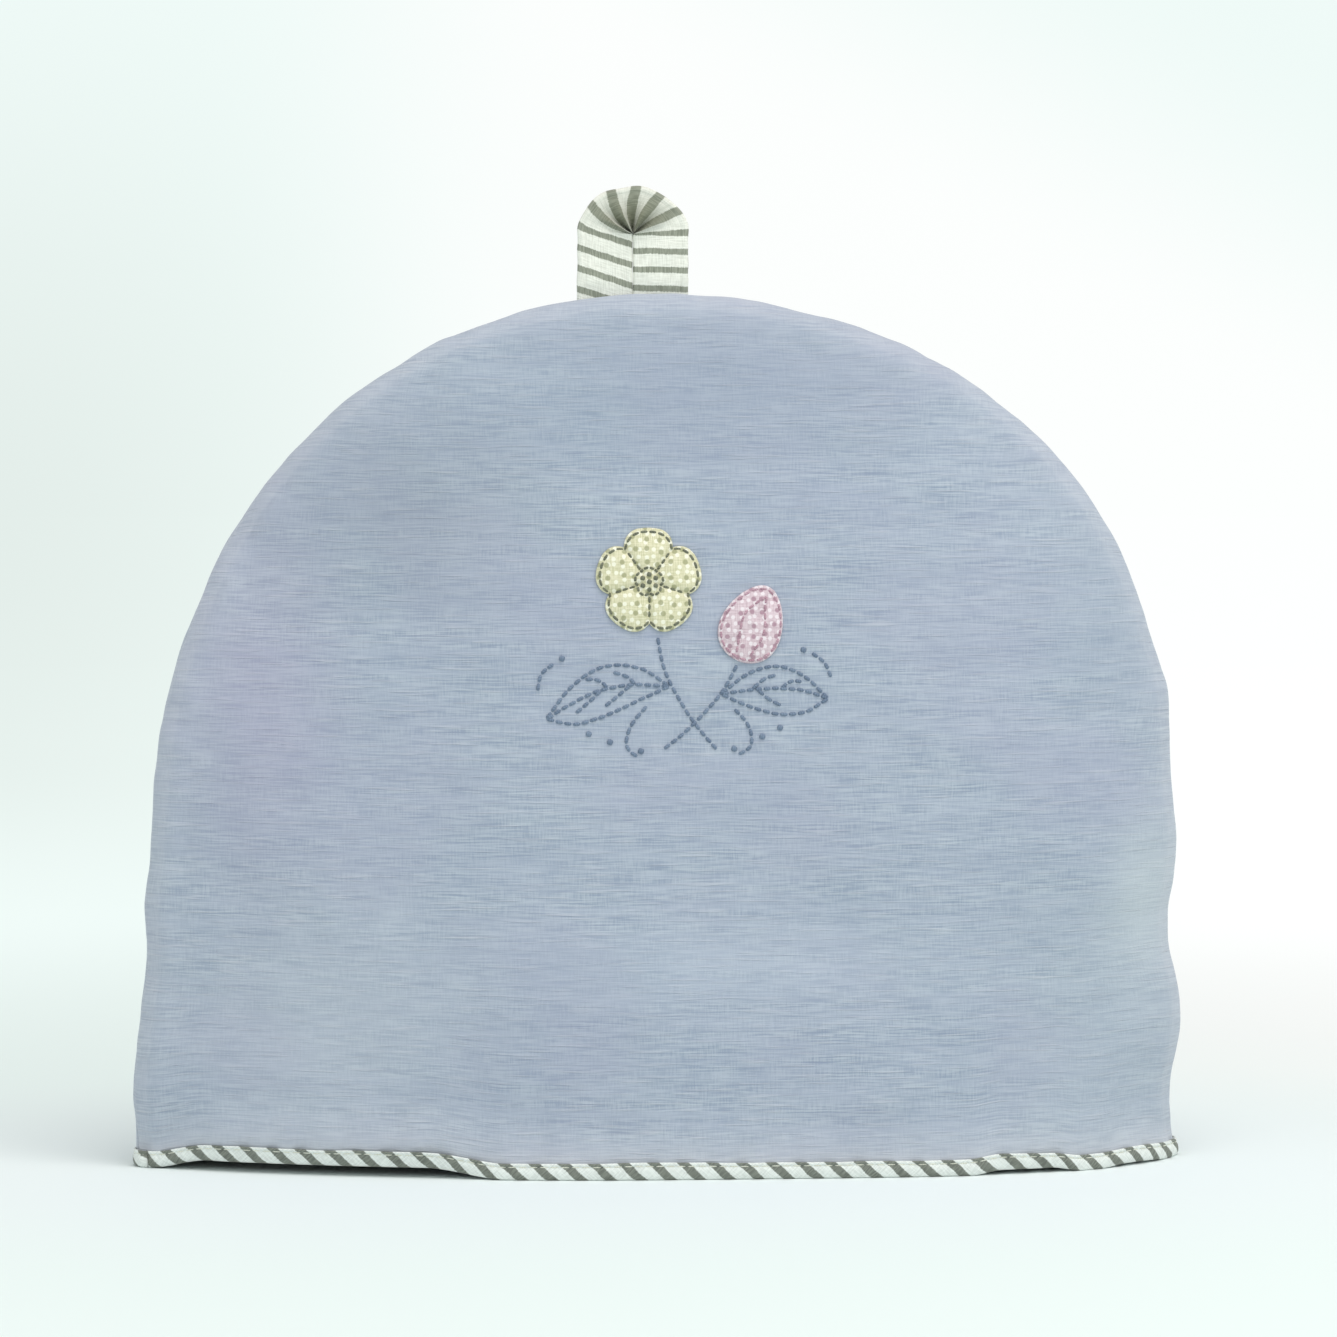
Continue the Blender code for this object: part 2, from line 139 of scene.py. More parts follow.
class Paint:  # one material and what adds nodes to it
    def __init__(self, name, **looks):
        self.material = bpy.data.materials.new(name)
        self.material.use_nodes = True
        self.tree = self.material.node_tree
        self.shader = self.tree.nodes["Principled BSDF"]
        for socket, value in looks.items():
            self.shader.inputs[socket.replace("_", " ")].default_value = value

    def add(self, kind, settings=None, sockets=None, output=0):
        made = self.tree.nodes.new("ShaderNode" + kind)
        for name, value in (settings or {}).items():
            setattr(made, name, value)
        for name, value in (sockets or {}).items():
            if isinstance(value, Value):
                self.tree.links.new(value.socket, made.inputs[name])
            else:
                made.inputs[name].default_value = value
        return Value(self, made.outputs[output])

    def vector(self, operation, *terms, output=0):
        return self.add("VectorMath", {"operation": operation}, dict(enumerate(terms)), output)

    def scaled(self, vector, factors):
        return self.vector("MULTIPLY", vector, factors)

    def shifted(self, vector, offset):
        return self.vector("ADD", vector, offset)

    def length(self, vector):
        return self.vector("LENGTH", vector, output=1)

    def axes(self, vector, names):
        return [self.add("SeparateXYZ", {}, {0: vector}, output="XYZ".index(name)) for name in names]

    def place(self):  # along the cloth's threads, in millimetres
        return self.scaled(self.add("Attribute", {"attribute_name": "cloth"}, output=1), (1000,) * 3)

    def cloud(self, place, reach, offset=(0, 0, 0), detail=1.0):  # noise, with its reach along both threads
        spread = self.scaled(self.shifted(place, offset), (1 / reach[0], 1 / reach[1], 1))
        return self.add("TexNoise", {}, {"Vector": spread, "Scale": 1.0, "Detail": detail})

    def blend(self, share, *pair):  # each is another node's colour, or one as a screen shows it
        first, second = (one if isinstance(one, Value) else linear(*one) for one in pair)
        sockets = {0: share, 6: first, 7: second}
        return self.add("Mix", {"data_type": "RGBA"}, sockets, output=2)

    def woven(self, place, reach, offset, pair):  # the yarns each way, and their two colours mixed
        weft, warp = self.cloud(place, reach), self.cloud(place, reach[::-1], offset)
        return weft, warp, self.blend((weft * 0.5 + warp * 0.5).between(0.35, 0.65), *pair)

    def tint(self, colour):
        self.tree.links.new(colour.socket, self.shader.inputs["Base Color"])

    def glow(self, colour):
        self.tree.links.new(colour.socket, self.shader.inputs["Emission Color"])

    def rough(self, value):
        self.tree.links.new(value.socket, self.shader.inputs["Roughness"])

    def relief(self, height, depth):  # depth in metres
        bump = self.add("Bump", {}, {"Height": height, "Distance": depth, "Strength": 1.0})
        self.tree.links.new(bump.socket, self.shader.inputs["Normal"])


# Camera, lights and the surface it stands on

view = {
    "azimuth": -4.27,  # degrees round from the front
    "elevation": 3.15,
    "distance": 1.8,
    "aim": (0.00214, 0.0, 0.15464),
    "width": 0.4189,  # of the frame, where it is aimed
    "sensor": 36.0,
}

lights = (  # name, azimuth, elevation, distance, size, power, colour
    ("top", 20, 70, 1.9, 1.4, 19.0, (255, 252, 251)),
    ("key", 50, 34, 1.9, 1.3, 6.0, (255, 252, 249)),
    ("fill", -44, 12, 2.1, 1.6, 2.2, (252, 253, 255)),
)

surround = {  # the paper goes from a plain tone to a painted pool of light, and to a painted shade far to the left
    "plain": (239, 250, 247),
    # painted light: a bluer tone close round the object, as light bounced off the blue cloth
    "close": (241, 249, 249),
    "closeWithin": (0.06, 0.24),  # distances over which that tone gives way to the others
    "closeShape": (0.35, 1, 1),  # it reaches further to the sides than back
    "lit": (0.94, 0.935, 0.935),  # the share of a tone that the lit paper gives back
    "paintedLight": (252, 254, 253),
    "paintedLightAcross": (-0.18, 0.2),  # where the painted light comes in, from left to right
    "paintedLightDeep": (0.0, 0.7),  # and from front to back
    "corner": (0.64, 1.02),  # the top right, where the painted light fades back to the plain tone
    "cornerSlope": 0.6,
    # painted shade on the backdrop, far to the left
    "shaded": (226, 236, 232),
    "shadedFrom": (0.36, 0.0, -0.06),  # this far from it to the object
    "shadedShape": (1, 0, 0.8),
    "shadedWithin": (0.0, 0.5),
    "shadedDeep": (0.4, 1.8),
    "glowFrom": (0.24, 0.85),  # distances over which the lit paper passes into the glowing backdrop
    "air": (253, 250, 250),
    "strength": 0.47,
    "profile": (  # distance from the middle, height
        (0.5, 0.0), (1.2, 0.0), (2.0, 0.0), (2.5, 0.02), (2.9, 0.12),
        (3.2, 0.32), (3.4, 0.62), (3.5, 1.0), (3.55, 1.6), (3.58, 2.4),
    ),
    "steps": 96,
}


def aimed(name, seer, azimuth, elevation, distance):  # a camera or a lamp, turned to the aim
    a, e = math.radians(azimuth), math.radians(elevation)
    away = Vector((math.sin(a) * math.cos(e), -math.cos(a) * math.cos(e), math.sin(e)))
    holder = bpy.data.objects.new(name, seer)
    holder.location = Vector(view["aim"]) + away * distance
    holder.rotation_euler = away.to_track_quat("Z", "Y").to_euler()
    bpy.context.collection.objects.link(holder)
    return holder


def addCamera():
    lens = bpy.data.cameras.new("camera")
    lens.sensor_width = view["sensor"]
    lens.lens = view["sensor"] * view["distance"] / view["width"]
    lens.clip_start, lens.clip_end = 0.05, 20
    camera = aimed("camera", lens, view["azimuth"], view["elevation"], view["distance"])
    bpy.context.scene.camera = camera


def addLights():
    for name, *place, size, power, colour in lights:
        lamp = bpy.data.lights.new(name, "AREA")
        lamp.shape, lamp.size, lamp.energy = "DISK", size, power
        lamp.color = linear(*colour)[:3]
        aimed(name, lamp, *place)
    world = bpy.data.worlds.new("air")
    world.use_nodes = True
    sky = world.node_tree.nodes["Background"]
    sky.inputs["Color"].default_value = linear(*surround["air"])
    sky.inputs["Strength"].default_value = surround["strength"]
    bpy.context.scene.world = world


def faceOutward(mesh):
    shell = bmesh.new()
    shell.from_mesh(mesh)
    bmesh.ops.recalc_face_normals(shell, faces=shell.faces)
    shell.to_mesh(mesh)
    shell.free()


def meshObject(name, points, faces, paints, cloth=None, slots=None):  # cloth: where each point is on it
    mesh = bpy.data.meshes.new(name)
    mesh.from_pydata([tuple(point) for point in points], [], faces)
    mesh.shade_smooth()
    for paint in paints:
        mesh.materials.append(paint.material)
    if slots is not None:
        mesh.polygons.foreach_set("material_index", slots)
    if cloth is not None:
        stored = mesh.attributes.new("cloth", "FLOAT_VECTOR", "POINT")
        stored.data.foreach_set("vector", np.asarray(cloth, float).ravel())
        faceOutward(mesh)
    made = bpy.data.objects.new(name, mesh)
    bpy.context.collection.objects.link(made)
    return made


def strips(rows, closed=False):  # the quads between neighbouring rows of vertex numbers
    faces = []
    for lower, upper in zip(rows, rows[1:]):
        count = len(lower)
        for i in range(count if closed else count - 1):
            j = (i + 1) % count
            faces.append((lower[i], lower[j], upper[j], upper[i]))
    return faces


def addSurround():
    steps = surround["steps"]
    turns = [2 * math.pi * step / steps for step in range(steps)]
    points = [(math.cos(t) * r, math.sin(t) * r, z) for r, z in surround["profile"] for t in turns]
    rows = [numbers(i, steps) for i in range(0, len(points), steps)]
    points.append((0.0, 0.0, 0.0))
    middle = [(len(points) - 1, rows[0][i], rows[0][(i + 1) % steps]) for i in range(steps)]
    paper = Paint("paper_floor", Roughness=0.8, Specular_IOR_Level=0.1, Emission_Strength=1.0)
    where = paper.add("TexCoord", output=3)
    sideways, depth, height = paper.axes(where, "XYZ")
    # painted light: a white pool to the right and back, fading out at the top right
    corner = (sideways * surround["cornerSlope"] + height).between(*surround["corner"])
    paintedLight = sideways.between(*surround["paintedLightAcross"]) * (depth + sideways).between(*surround["paintedLightDeep"])
    # painted shade far to the left
    flat = paper.scaled(paper.shifted(where, surround["shadedFrom"]), surround["shadedShape"])
    shade = 1 - paper.length(flat).between(*surround["shadedWithin"])
    tone = paper.blend(paintedLight * (1 - corner), surround["plain"], surround["paintedLight"])
    tone = paper.blend(shade * depth.between(*surround["shadedDeep"]), tone, surround["shaded"])
    far = paper.length(where).between(*surround["glowFrom"])
    # painted bounce light close round the object
    beside = paper.length(paper.scaled(where, surround["closeShape"]))
    close = paper.blend(beside.between(*surround["closeWithin"]), surround["close"], tone)
    black = (0, 0, 0)
    paper.tint(paper.blend(far, paper.scaled(close, surround["lit"]), black))
    paper.glow(paper.blend(far, black, tone))
    ground = meshObject("ground", points, middle + strips(rows[::-1], closed=True), [paper])
    ground.data.materials[0].cycles.emission_sampling = "NONE"  # an even glow needs no aiming at


bpy.context.scene.view_settings.view_transform = "Standard"
addCamera()
addLights()
addSurround()
print("camera, lights and surround made")


# The body: two wadded panels, each half-round, bowed out and joined all round but for the mouth

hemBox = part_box("hem_binding")
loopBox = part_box("hanging_loop")

body = {
    "base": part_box("front_panel")[0].z,  # the panels' raw edge, inside the binding
    "ridge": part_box("back_panel")[1].z,
    "halfWidth": 164.2 * mm,
    "halfDepth": -hemBox[0].y,
    "mouthPowers": (2.1, 5.0),  # how square the mouth is, left and right of its middle
    "shoulderPower": 3.8,
    "risePower": 1.8,
    "riseSoftness": 0.9,
    "gap": 0.3 * mm,
    "padding": (  # what, squeezed under the binding, full above it
        ("groove", 0.8 * mm, 1.6 * mm),
        ("crest", 1.5 * mm, 3.0 * mm),
        ("roll", 3.0 * mm, 5.0 * mm),
        ("edge", 4.2 * mm, 7.2 * mm),
        ("middle", 8.0 * mm, 7.2 * mm),
        ("wall", 4.0 * mm, 7.0 * mm),
        ("cavityInset", 3.0 * mm, 6.0 * mm),
    ),
    "squeezeTop": 6.0 * mm,
    "squeezeEase": 14 * mm,
    "columns": 240,
    "rowHeight": 2.0 * mm,
    "flare": 24 * mm,  # the cloth flares to the hem below this
    "rowShares": (0.7, 1.25),  # of a row's height, below that and above it
    "insideColumns": 72,
    "insideRows": 36,
    "rollAngles": (78, 66, 54, 42, 30, 20, 10, 0),
    "tuckAngles": (72, 54, 36, 18, 0),
    "lifts": (  # side, start, full from, full to, end, rise
        (front, -161, -142, -76, -50, 3.1),
        (front, 92, 103, 118, 129, 1.35),
        (front, 134, 146, 150, 161, 0.8),
        (back, -140, -118, -96, -70, 1.6),
        (back, 78, 104, 128, 150, 2.1),
    ),
    "liftFade": 70 * mm,
    "tuck": (0.9, 9 * mm),  # a lifted stretch leans in: share of its rise, height over which it does
    "dents": (  # side, x, z, reach across, reach up, push
        (front, -92, 150, 34, 46, -1.8), (front, -30, 66, 46, 26, 1.5), (front, 88, 118, 40, 30, 1.6),
        (front, 120, 62, 26, 20, -1.7), (front, 46, 222, 38, 22, -1.4), (front, -58, 226, 30, 20, 1.2),
        (back, 70, 160, 42, 40, -2.2), (back, -64, 104, 40, 34, 1.8), (back, 6, 54, 50, 22, -1.5),
        (back, -40, 214, 34, 26, -1.4),
    ),
    "seamHold": 12 * mm,
    "waves": (  # side of the seam's edge, z, reach, push
        (right, 19, 24, -3.3), (right, 58, 34, 2.4), (right, 71, 20, -6.0), (right, 153, 22, 2.8),
        (right, 195, 23, 3.5), (right, 234, 24, 2.5), (left, 26, 12, 1.3), (left, 63, 16, -2.5),
        (left, 90, 15, -1.5), (left, 111, 27, -1.8), (left, 139, 27, -1.5), (left, 187, 30, -3.6),
        (left, 232, 26, -4.8), (left, 250, 6, -1.2),
    ),
    "waveReach": 0.3,
    "strapReach": 17.9 * mm,  # the seam opens this far each side of the strap's middle
    "strapFoot": 2.0 * mm,
    "pocketEase": 12 * mm,
    "pocketRise": (0.8, 0.9),  # shares of the ridge's height between which it opens
    "fullBow": 1 / 3,  # the share of the bow by which the padding is at its fullest
}
strapMiddle = (loopBox[0].x + loopBox[1].x) / 2


def padding(height):
    fullness = ease((height - body["squeezeTop"] + body["base"]) / body["squeezeEase"])
    return {name: mix(low, high, fullness) for name, low, high in body["padding"]}


squeezed, full = padding(-1.0), padding(1.0)  # at the hem and well above it


def mouthPower(x):
    return np.where(x < 0, *body["mouthPowers"])


def standOut(share):  # how far a wall bows out: 1 in the middle, 0 at the seam
    return np.maximum(1 - np.abs(share) ** mouthPower(share), 0.0)


def roundOff(u, v):  # a square -1..1 by 0..1 spread over a half disc
    return u * np.sqrt(1 - v * v / 2), v * np.sqrt(1 - u * u / 2)


class Face:  # the half-round shape of a panel's outer or inner face
    def __init__(self, halfWidth, height, bow):
        self.halfWidth, self.height, self.bow = halfWidth, height, bow

    def share(self, z):
        return np.clip((z - body["base"]) / self.height, 0.0, 1.0)

    def widthAt(self, z):
        width = self.halfWidth * np.sqrt(1 - self.share(z) ** body["shoulderPower"])
        return np.maximum(width, mm)

    def bowAt(self, x, z):
        rise = (1 - self.share(z) ** body["risePower"]) ** body["riseSoftness"]
        return self.bow * rise * standOut(x / self.widthAt(z))

    def edge(self, across, up):  # where a ray from the middle of the mouth meets the edge
        near, far = np.full(np.shape(across), 0.5), np.full(np.shape(across), 2.0)
        for _ in range(36):
            reach = (near + far) / 2
            within = (reach * across) ** 2 + (reach * up) ** body["shoulderPower"] < 1
            near, far = np.where(within, reach, near), np.where(within, far, reach)
        return near * across * self.halfWidth, near * up * self.height

    def inward(self, x, height):
        across = 2 * x / self.halfWidth**2
        power = body["shoulderPower"]
        up = power * (height / self.height) ** (power - 1) / self.height
        size = np.maximum(np.hypot(across, up), 1e-9)
        return -across / size, -up / size

    def spread(self, u, v, inset):  # points all over it, and how far in from the edge each is
        across, up = roundOff(u, v)
        radius = np.maximum(np.hypot(across, up), 1e-9)
        edgeX, edgeZ = self.edge(across / radius, up / radius)
        inX, inZ = self.inward(edgeX, edgeZ)
        depth = inset(edgeZ)
        x, z = (edgeX + inX * depth) * radius, (edgeZ + inZ * depth) * radius + body["base"]
        return x, z, np.hypot(edgeX - x, edgeZ + body["base"] - z)


outsideFace = Face(
    body["halfWidth"], body["ridge"] - body["base"], body["halfDepth"] - body["base"] - squeezed["middle"]
)
cavityFace = Face(
    body["halfWidth"] - full["cavityInset"],
    outsideFace.height - full["cavityInset"],
    outsideFace.bow + full["middle"] - full["wall"] - body["gap"] / 2,
)


def settle(x, y, z):  # from the evenly made shape to where the standing cloth has it
    x, y, z = np.broadcast_arrays(*(np.asarray(part, float) for part in (x, y, z)))
    side, hand = np.where(y < 0, front, back), np.where(x < 0, left, right)
    lift, dent, wave = np.zeros(x.shape), np.zeros(x.shape), np.zeros(x.shape)
    for rowSide, start, fullFrom, fullTo, end, rise in body["lifts"]:
        risen = ramp(x / mm, start, fullFrom) * ramp(x / mm, end, fullTo)
        lift += np.where(side == rowSide, rise * mm * risen, 0.0)
    for rowSide, dentX, dentZ, reachX, reachZ, push in body["dents"]:
        away = np.hypot((x / mm - dentX) / reachX, (z / mm - dentZ) / reachZ)
        dent += np.where(side == rowSide, push * mm * bell(away), 0.0)
    for rowHand, waveZ, reach, push in body["waves"]:
        wave += np.where(hand == rowHand, push * mm * bell((z / mm - waveZ) / reach), 0.0)
    nearEdge = ease(1 - (1 - np.abs(x) / outsideFace.widthAt(z)) / body["waveReach"])
    loose = ease(np.abs(y) / body["seamHold"])
    lean, leanReach = body["tuck"]
    tuck = lift * lean * ease(1 - z / leanReach)
    rise = lift * ease(1 - z / body["liftFade"])
    return together(x + hand * wave * nearEdge, y + side * (dent * loose - tuck), z + rise)


def seamDepth(x, z):  # half the space between the panels, wider where the strap passes
    beside = np.abs(x - strapMiddle) - body["strapReach"]
    pocket = ease(1 - beside / body["pocketEase"]) * ramp(z / body["ridge"], *body["pocketRise"])
    return body["gap"] / 2 + pocket * (body["strapFoot"] + body["gap"]) / 2


def outerDepth(x, z):
    pad = padding(z - body["base"])
    bow = outsideFace.bowAt(x, z)
    fullness = np.minimum(bow / outsideFace.bow / body["fullBow"], 1.0)
    return mix(pad["edge"], pad["middle"], fullness) + bow


def cavityDepth(x, z):
    pad = padding(z - body["base"])
    extra = (full["middle"] - full["wall"]) - (pad["middle"] - pad["wall"])
    return seamDepth(x, z) + cavityFace.bowAt(x, z) * (1 - extra / cavityFace.bow)


cloth = {
    "lumps": ((30 * mm, 0.9 * mm), (13 * mm, 0.32 * mm), (5.5 * mm, 0.1 * mm)),  # reach, height
    "seamPucker": (7.5 * mm, 27 * mm, 0.9 * mm, 9 * mm),  # reach along and from the seam, height, fade
    "seamCrest": (19 * mm, 0.6 * mm, 5 * mm),  # reach along the seam, height, fade
    "hemPucker": (6.5 * mm, 24 * mm, 0.8 * mm),  # reach along and from the hem, height
    "hemFade": (25.6 * mm, 9.6 * mm),  # heights at which the puckers end and are whole
    "ridge": (0.5 * mm, 7 * mm, 3 * mm),  # the seam allowance inside: height, distance in, half width
    "ridgeLumps": (12 * mm, 1.0),  # reach, share of its height
    "tacked": 3 * mm,  # no puckers nearer to the seam than this
    "creaseRise": (0.0, 1 / 3),  # shares of a crease's length over which it deepens
    "creaseFall": (1.25, 0.625),  # and those at which it would end, and begins to fade
    "creases": (  # side, from x, z, to x, z, bow of its middle, half width, push
        (front, -150, 92, -104, 70, 5, 6, -0.55), (front, -152, 60, -118, 46, -4, 5, -0.4),
        (front, -138, 186, -108, 168, -4, 6, -0.5), (front, -84, 236, -62, 214, 4, 5, -0.35),
        (front, 150, 74, 116, 88, 4, 6, -0.6), (front, 156, 46, 128, 50, -3, 4, -0.4),
        (front, 148, 148, 118, 138, 4, 6, -0.5), (front, 108, 216, 86, 196, -4, 5, -0.4),
        (front, -60, 20, -24, 30, 5, 5, 0.4), (front, 40, 24, 84, 34, -5, 6, 0.4),
        (front, 34, 262, 52, 240, 4, 4, -0.3), (back, 148, 100, 106, 82, -5, 6, -0.6),
        (back, -150, 84, -112, 104, 5, 6, -0.6), (back, -96, 224, -66, 202, 4, 5, -0.45),
        (back, 92, 226, 66, 200, -5, 5, -0.45), (back, 20, 26, 72, 40, 6, 6, 0.45),
        (back, -90, 30, -40, 24, -5, 5, 0.4), (back, -8, 262, -14, 234, 3, 4, -0.35),
    ),
    "sink": (0.5 * mm, 2.6 * mm),  # how far the motif's sewing pulls the panel in, and its reach
    "sinkWithin": ((5 * mm, 56 * mm), (164 * mm, 44 * mm)),  # where, across and up: middle, half size
}


def seamTable():  # distance along the seam for each direction from the middle of the mouth
    turns = np.linspace(0, math.pi, 1500)
    x, z = outsideFace.edge(np.cos(turns), np.sin(turns))
    return turns, travel(np.hypot(np.diff(x), np.diff(z)))


seamTurns, seamLengths = seamTable()


def alongSeam(u, v):
    across, up = roundOff(u, v)
    return np.interp(np.arctan2(up, across), seamTurns, seamLengths)


def creasePush(side, x, z):  # soft troughs and ridges, each a bowed line fading at both ends
    push = np.zeros(len(x))
    for rowSide, x0, z0, x1, z1, bow, half, height in cloth["creases"]:
        if rowSide != side:
            continue
        length = math.hypot(x1 - x0, z1 - z0)
        alongX, alongZ = (x1 - x0) / length, (z1 - z0) / length
        share = ((x / mm - x0) * alongX + (z / mm - z0) * alongZ) / length
        offset = (z / mm - z0) * alongX - (x / mm - x0) * alongZ
        offset = offset - bow * (1 - (2 * share - 1) ** 2)
        ends = ramp(share, *cloth["creaseRise"]) * ramp(share, *cloth["creaseFall"])
        push += height * mm * bell(offset / half) * ends
    return push


def unevenness(side, points, along, inward):
    x, z = points[:, 0], points[:, 2]
    push = creasePush(side, x, z)
    for number, (reach, height) in enumerate(cloth["lumps"]):
        push += height * wander(points, reach, 3 + number + 10 * side)
    reach, reachIn, height, fade = cloth["seamPucker"]
    radiating = wander(together(along / reach, inward / reachIn, 0.0), 1.0, 5 + side)
    tacking = ease((inward + mm) / cloth["tacked"])
    push += height * radiating * np.exp(-np.maximum(inward, 0) / fade) * tacking
    reach, height, fade = cloth["seamCrest"]
    push += wanderAlong(along, 7, (reach, height)) * np.exp(-((inward / fade) ** 2))
    reach, reachUp, height = cloth["hemPucker"]
    gathers = wander(together(x / reach, z / reachUp, 0.0), 1.0, 9 + side)
    push += height * gathers * ramp(z, *cloth["hemFade"])
    height, away, half = cloth["ridge"]
    push += height * bell((inward - away) / half) * (1 + wanderAlong(along, 11, cloth["ridgeLumps"]))
    return push


def grid(rows, columns, start):
    return [numbers(start + i * columns, columns) for i in range(rows)]


def border(rows):  # up the left side, over the top and down the right side
    return [row[0] for row in rows] + rows[-1][1:-1] + [row[-1] for row in reversed(rows)]


def upShares(rowHeight):
    height = outsideFace.height
    flare = body["flare"] / height
    below, above = body["rowShares"]
    rest = np.linspace(flare, 1.0, round((1 - flare) * height / rowHeight / above))
    return np.concatenate([np.arange(0.0, flare, rowHeight * below / height), rest])


def joinRows(first, firstPlaces, second, secondPlaces):  # triangles between rows of different counts
    faces, i, j = [], 0, 0
    while i < len(first) - 1 or j < len(second) - 1:
        firstDone, secondDone = i == len(first) - 1, j == len(second) - 1
        if secondDone or (not firstDone and firstPlaces[i + 1] <= secondPlaces[j + 1]):
            faces.append((first[i], first[i + 1], second[j]))
            i += 1
        else:
            faces.append((first[i], second[j + 1], second[j]))
            j += 1
    return faces


def wornAndLitShare(inward, z):  # how far the cloth is made paler, partly rubbed-away dye and partly painted highlight on the seam's roll and above the hem, kept in the third thread direction
    seamShare, seamFade = chambray["wornAndLitSeam"]
    hemShare, hemFade, above = chambray["wornAndLitHem"]
    seam = seamShare * np.exp(-inward / seamFade)
    hem = hemShare * np.exp(-np.maximum(z - above, 0) / hemFade)
    return np.maximum(seam, hem) * mm


def rollEdge(side, rim):  # rings from the outer face round the edge and in to the seam
    rimX, rimZ = outsideFace.edge(*roundOff(*rim))
    inX, inZ = outsideFace.inward(rimX, rimZ)
    pad = padding(rimZ)
    seamGap = seamDepth(rimX, rimZ + body["base"])
    crest = np.maximum(pad["crest"], seamGap + body["gap"])
    length, before = np.zeros(len(rimX)), (pad["roll"], pad["edge"])
    for number, angle in enumerate(map(math.radians, body["rollAngles"] + body["tuckAngles"])):
        rolled = number < len(body["rollAngles"])
        if rolled:
            depthIn = pad["roll"] * (1 - math.cos(angle))
            depth = mix(crest, pad["edge"], math.sin(angle))
        else:
            depthIn = pad["groove"] * (1 - math.sin(angle))
            depth = mix(seamGap, crest, 1 - math.cos(angle))
        x, z = rimX + inX * depthIn, rimZ + inZ * depthIn + body["base"]
        bowed = depth + (outsideFace.bowAt(x, z) if rolled else 0.0)
        length = length + np.hypot(depthIn - before[0], depth - before[1])
        rolledLength = length if rolled else rolledLength
        before = (depthIn, depth)
        flatX, flatZ = rimX + inX * (pad["roll"] - length), rimZ + inZ * (pad["roll"] - length) + body["base"]
        threads = together(flatX, flatZ, wornAndLitShare(0.0, z))
        yield settle(x, side * bowed, z), threads, depthIn if rolled else rolledLength - length


def makePanel(name, side, outsidePaint, insidePaint):
    u, v = np.meshgrid(np.linspace(-1, 1, body["columns"] + 1), upShares(body["rowHeight"]))
    x, z, inward = outsideFace.spread(u, v, lambda height: padding(height)["roll"])
    outer = grid(*u.shape, 0)
    points = [settle(x, side * outerDepth(x, z), z).reshape(-1, 3)]
    weave = [together(x, z, wornAndLitShare(inward, z)).reshape(-1, 3)]
    seam, inset = [alongSeam(u, v).ravel()], [inward.ravel()]
    count = u.size

    outerBorder = border(outer)
    rim = (u.ravel()[outerBorder], v.ravel()[outerBorder])
    rings = []
    for ring, threads, depthIn in rollEdge(side, rim):
        points.append(ring)
        weave.append(threads)
        seam.append(alongSeam(*rim))
        inset.append(depthIn)
        rings.append(numbers(count, len(ring)))
        count += len(ring)

    insideU = np.linspace(-1, 1, body["insideColumns"] + 1)
    insideV = upShares(outsideFace.height / body["insideRows"])
    innerU, innerV = np.meshgrid(insideU, insideV)
    x, z, _ = cavityFace.spread(innerU, innerV, lambda height: 0.0)
    widen = (body["halfWidth"] - padding(z - body["base"])["cavityInset"]) / cavityFace.halfWidth
    inner = grid(*innerU.shape, count)
    points.append(settle(x * widen, side * cavityDepth(x, z), z).reshape(-1, 3))
    weave.append(together(x, z, 0.0).reshape(-1, 3))

    faces = strips(outer) + strips([outerBorder, *rings])
    inside = strips(inner)
    lined = range(len(faces), len(faces) + len(inside))
    faces += inside
    innerBorder = border(inner)
    innerRim = np.array(innerBorder) - inner[0][0]
    innerSeam = alongSeam(innerU.ravel()[innerRim], innerV.ravel()[innerRim])
    faces += joinRows(rings[-1], -alongSeam(*rim), innerBorder, -innerSeam)
    faces += joinRows(outer[0], u[0], inner[0], innerU[0])
    for end in (0, -1):
        faces.append((outerBorder[end], *(ring[end] for ring in rings), innerBorder[end]))
    made = meshObject(
        name, np.concatenate(points), faces, [outsidePaint, insidePaint], np.concatenate(weave),
        [int(number in lined) for number in range(len(faces))],
    )
    normals = np.zeros(len(made.data.vertices) * 3)
    made.data.vertex_normals.foreach_get("vector", normals)
    placed = np.concatenate(points)
    push = unevenness(side, placed[:count], np.concatenate(seam), np.concatenate(inset))
    if side == front:
        push += sewingPull(placed[:count])
    placed[:count] += normals.reshape(-1, 3)[:count] * push[:, None]
    made.data.vertices.foreach_set("co", placed.ravel())
    made.data.update()
    return made


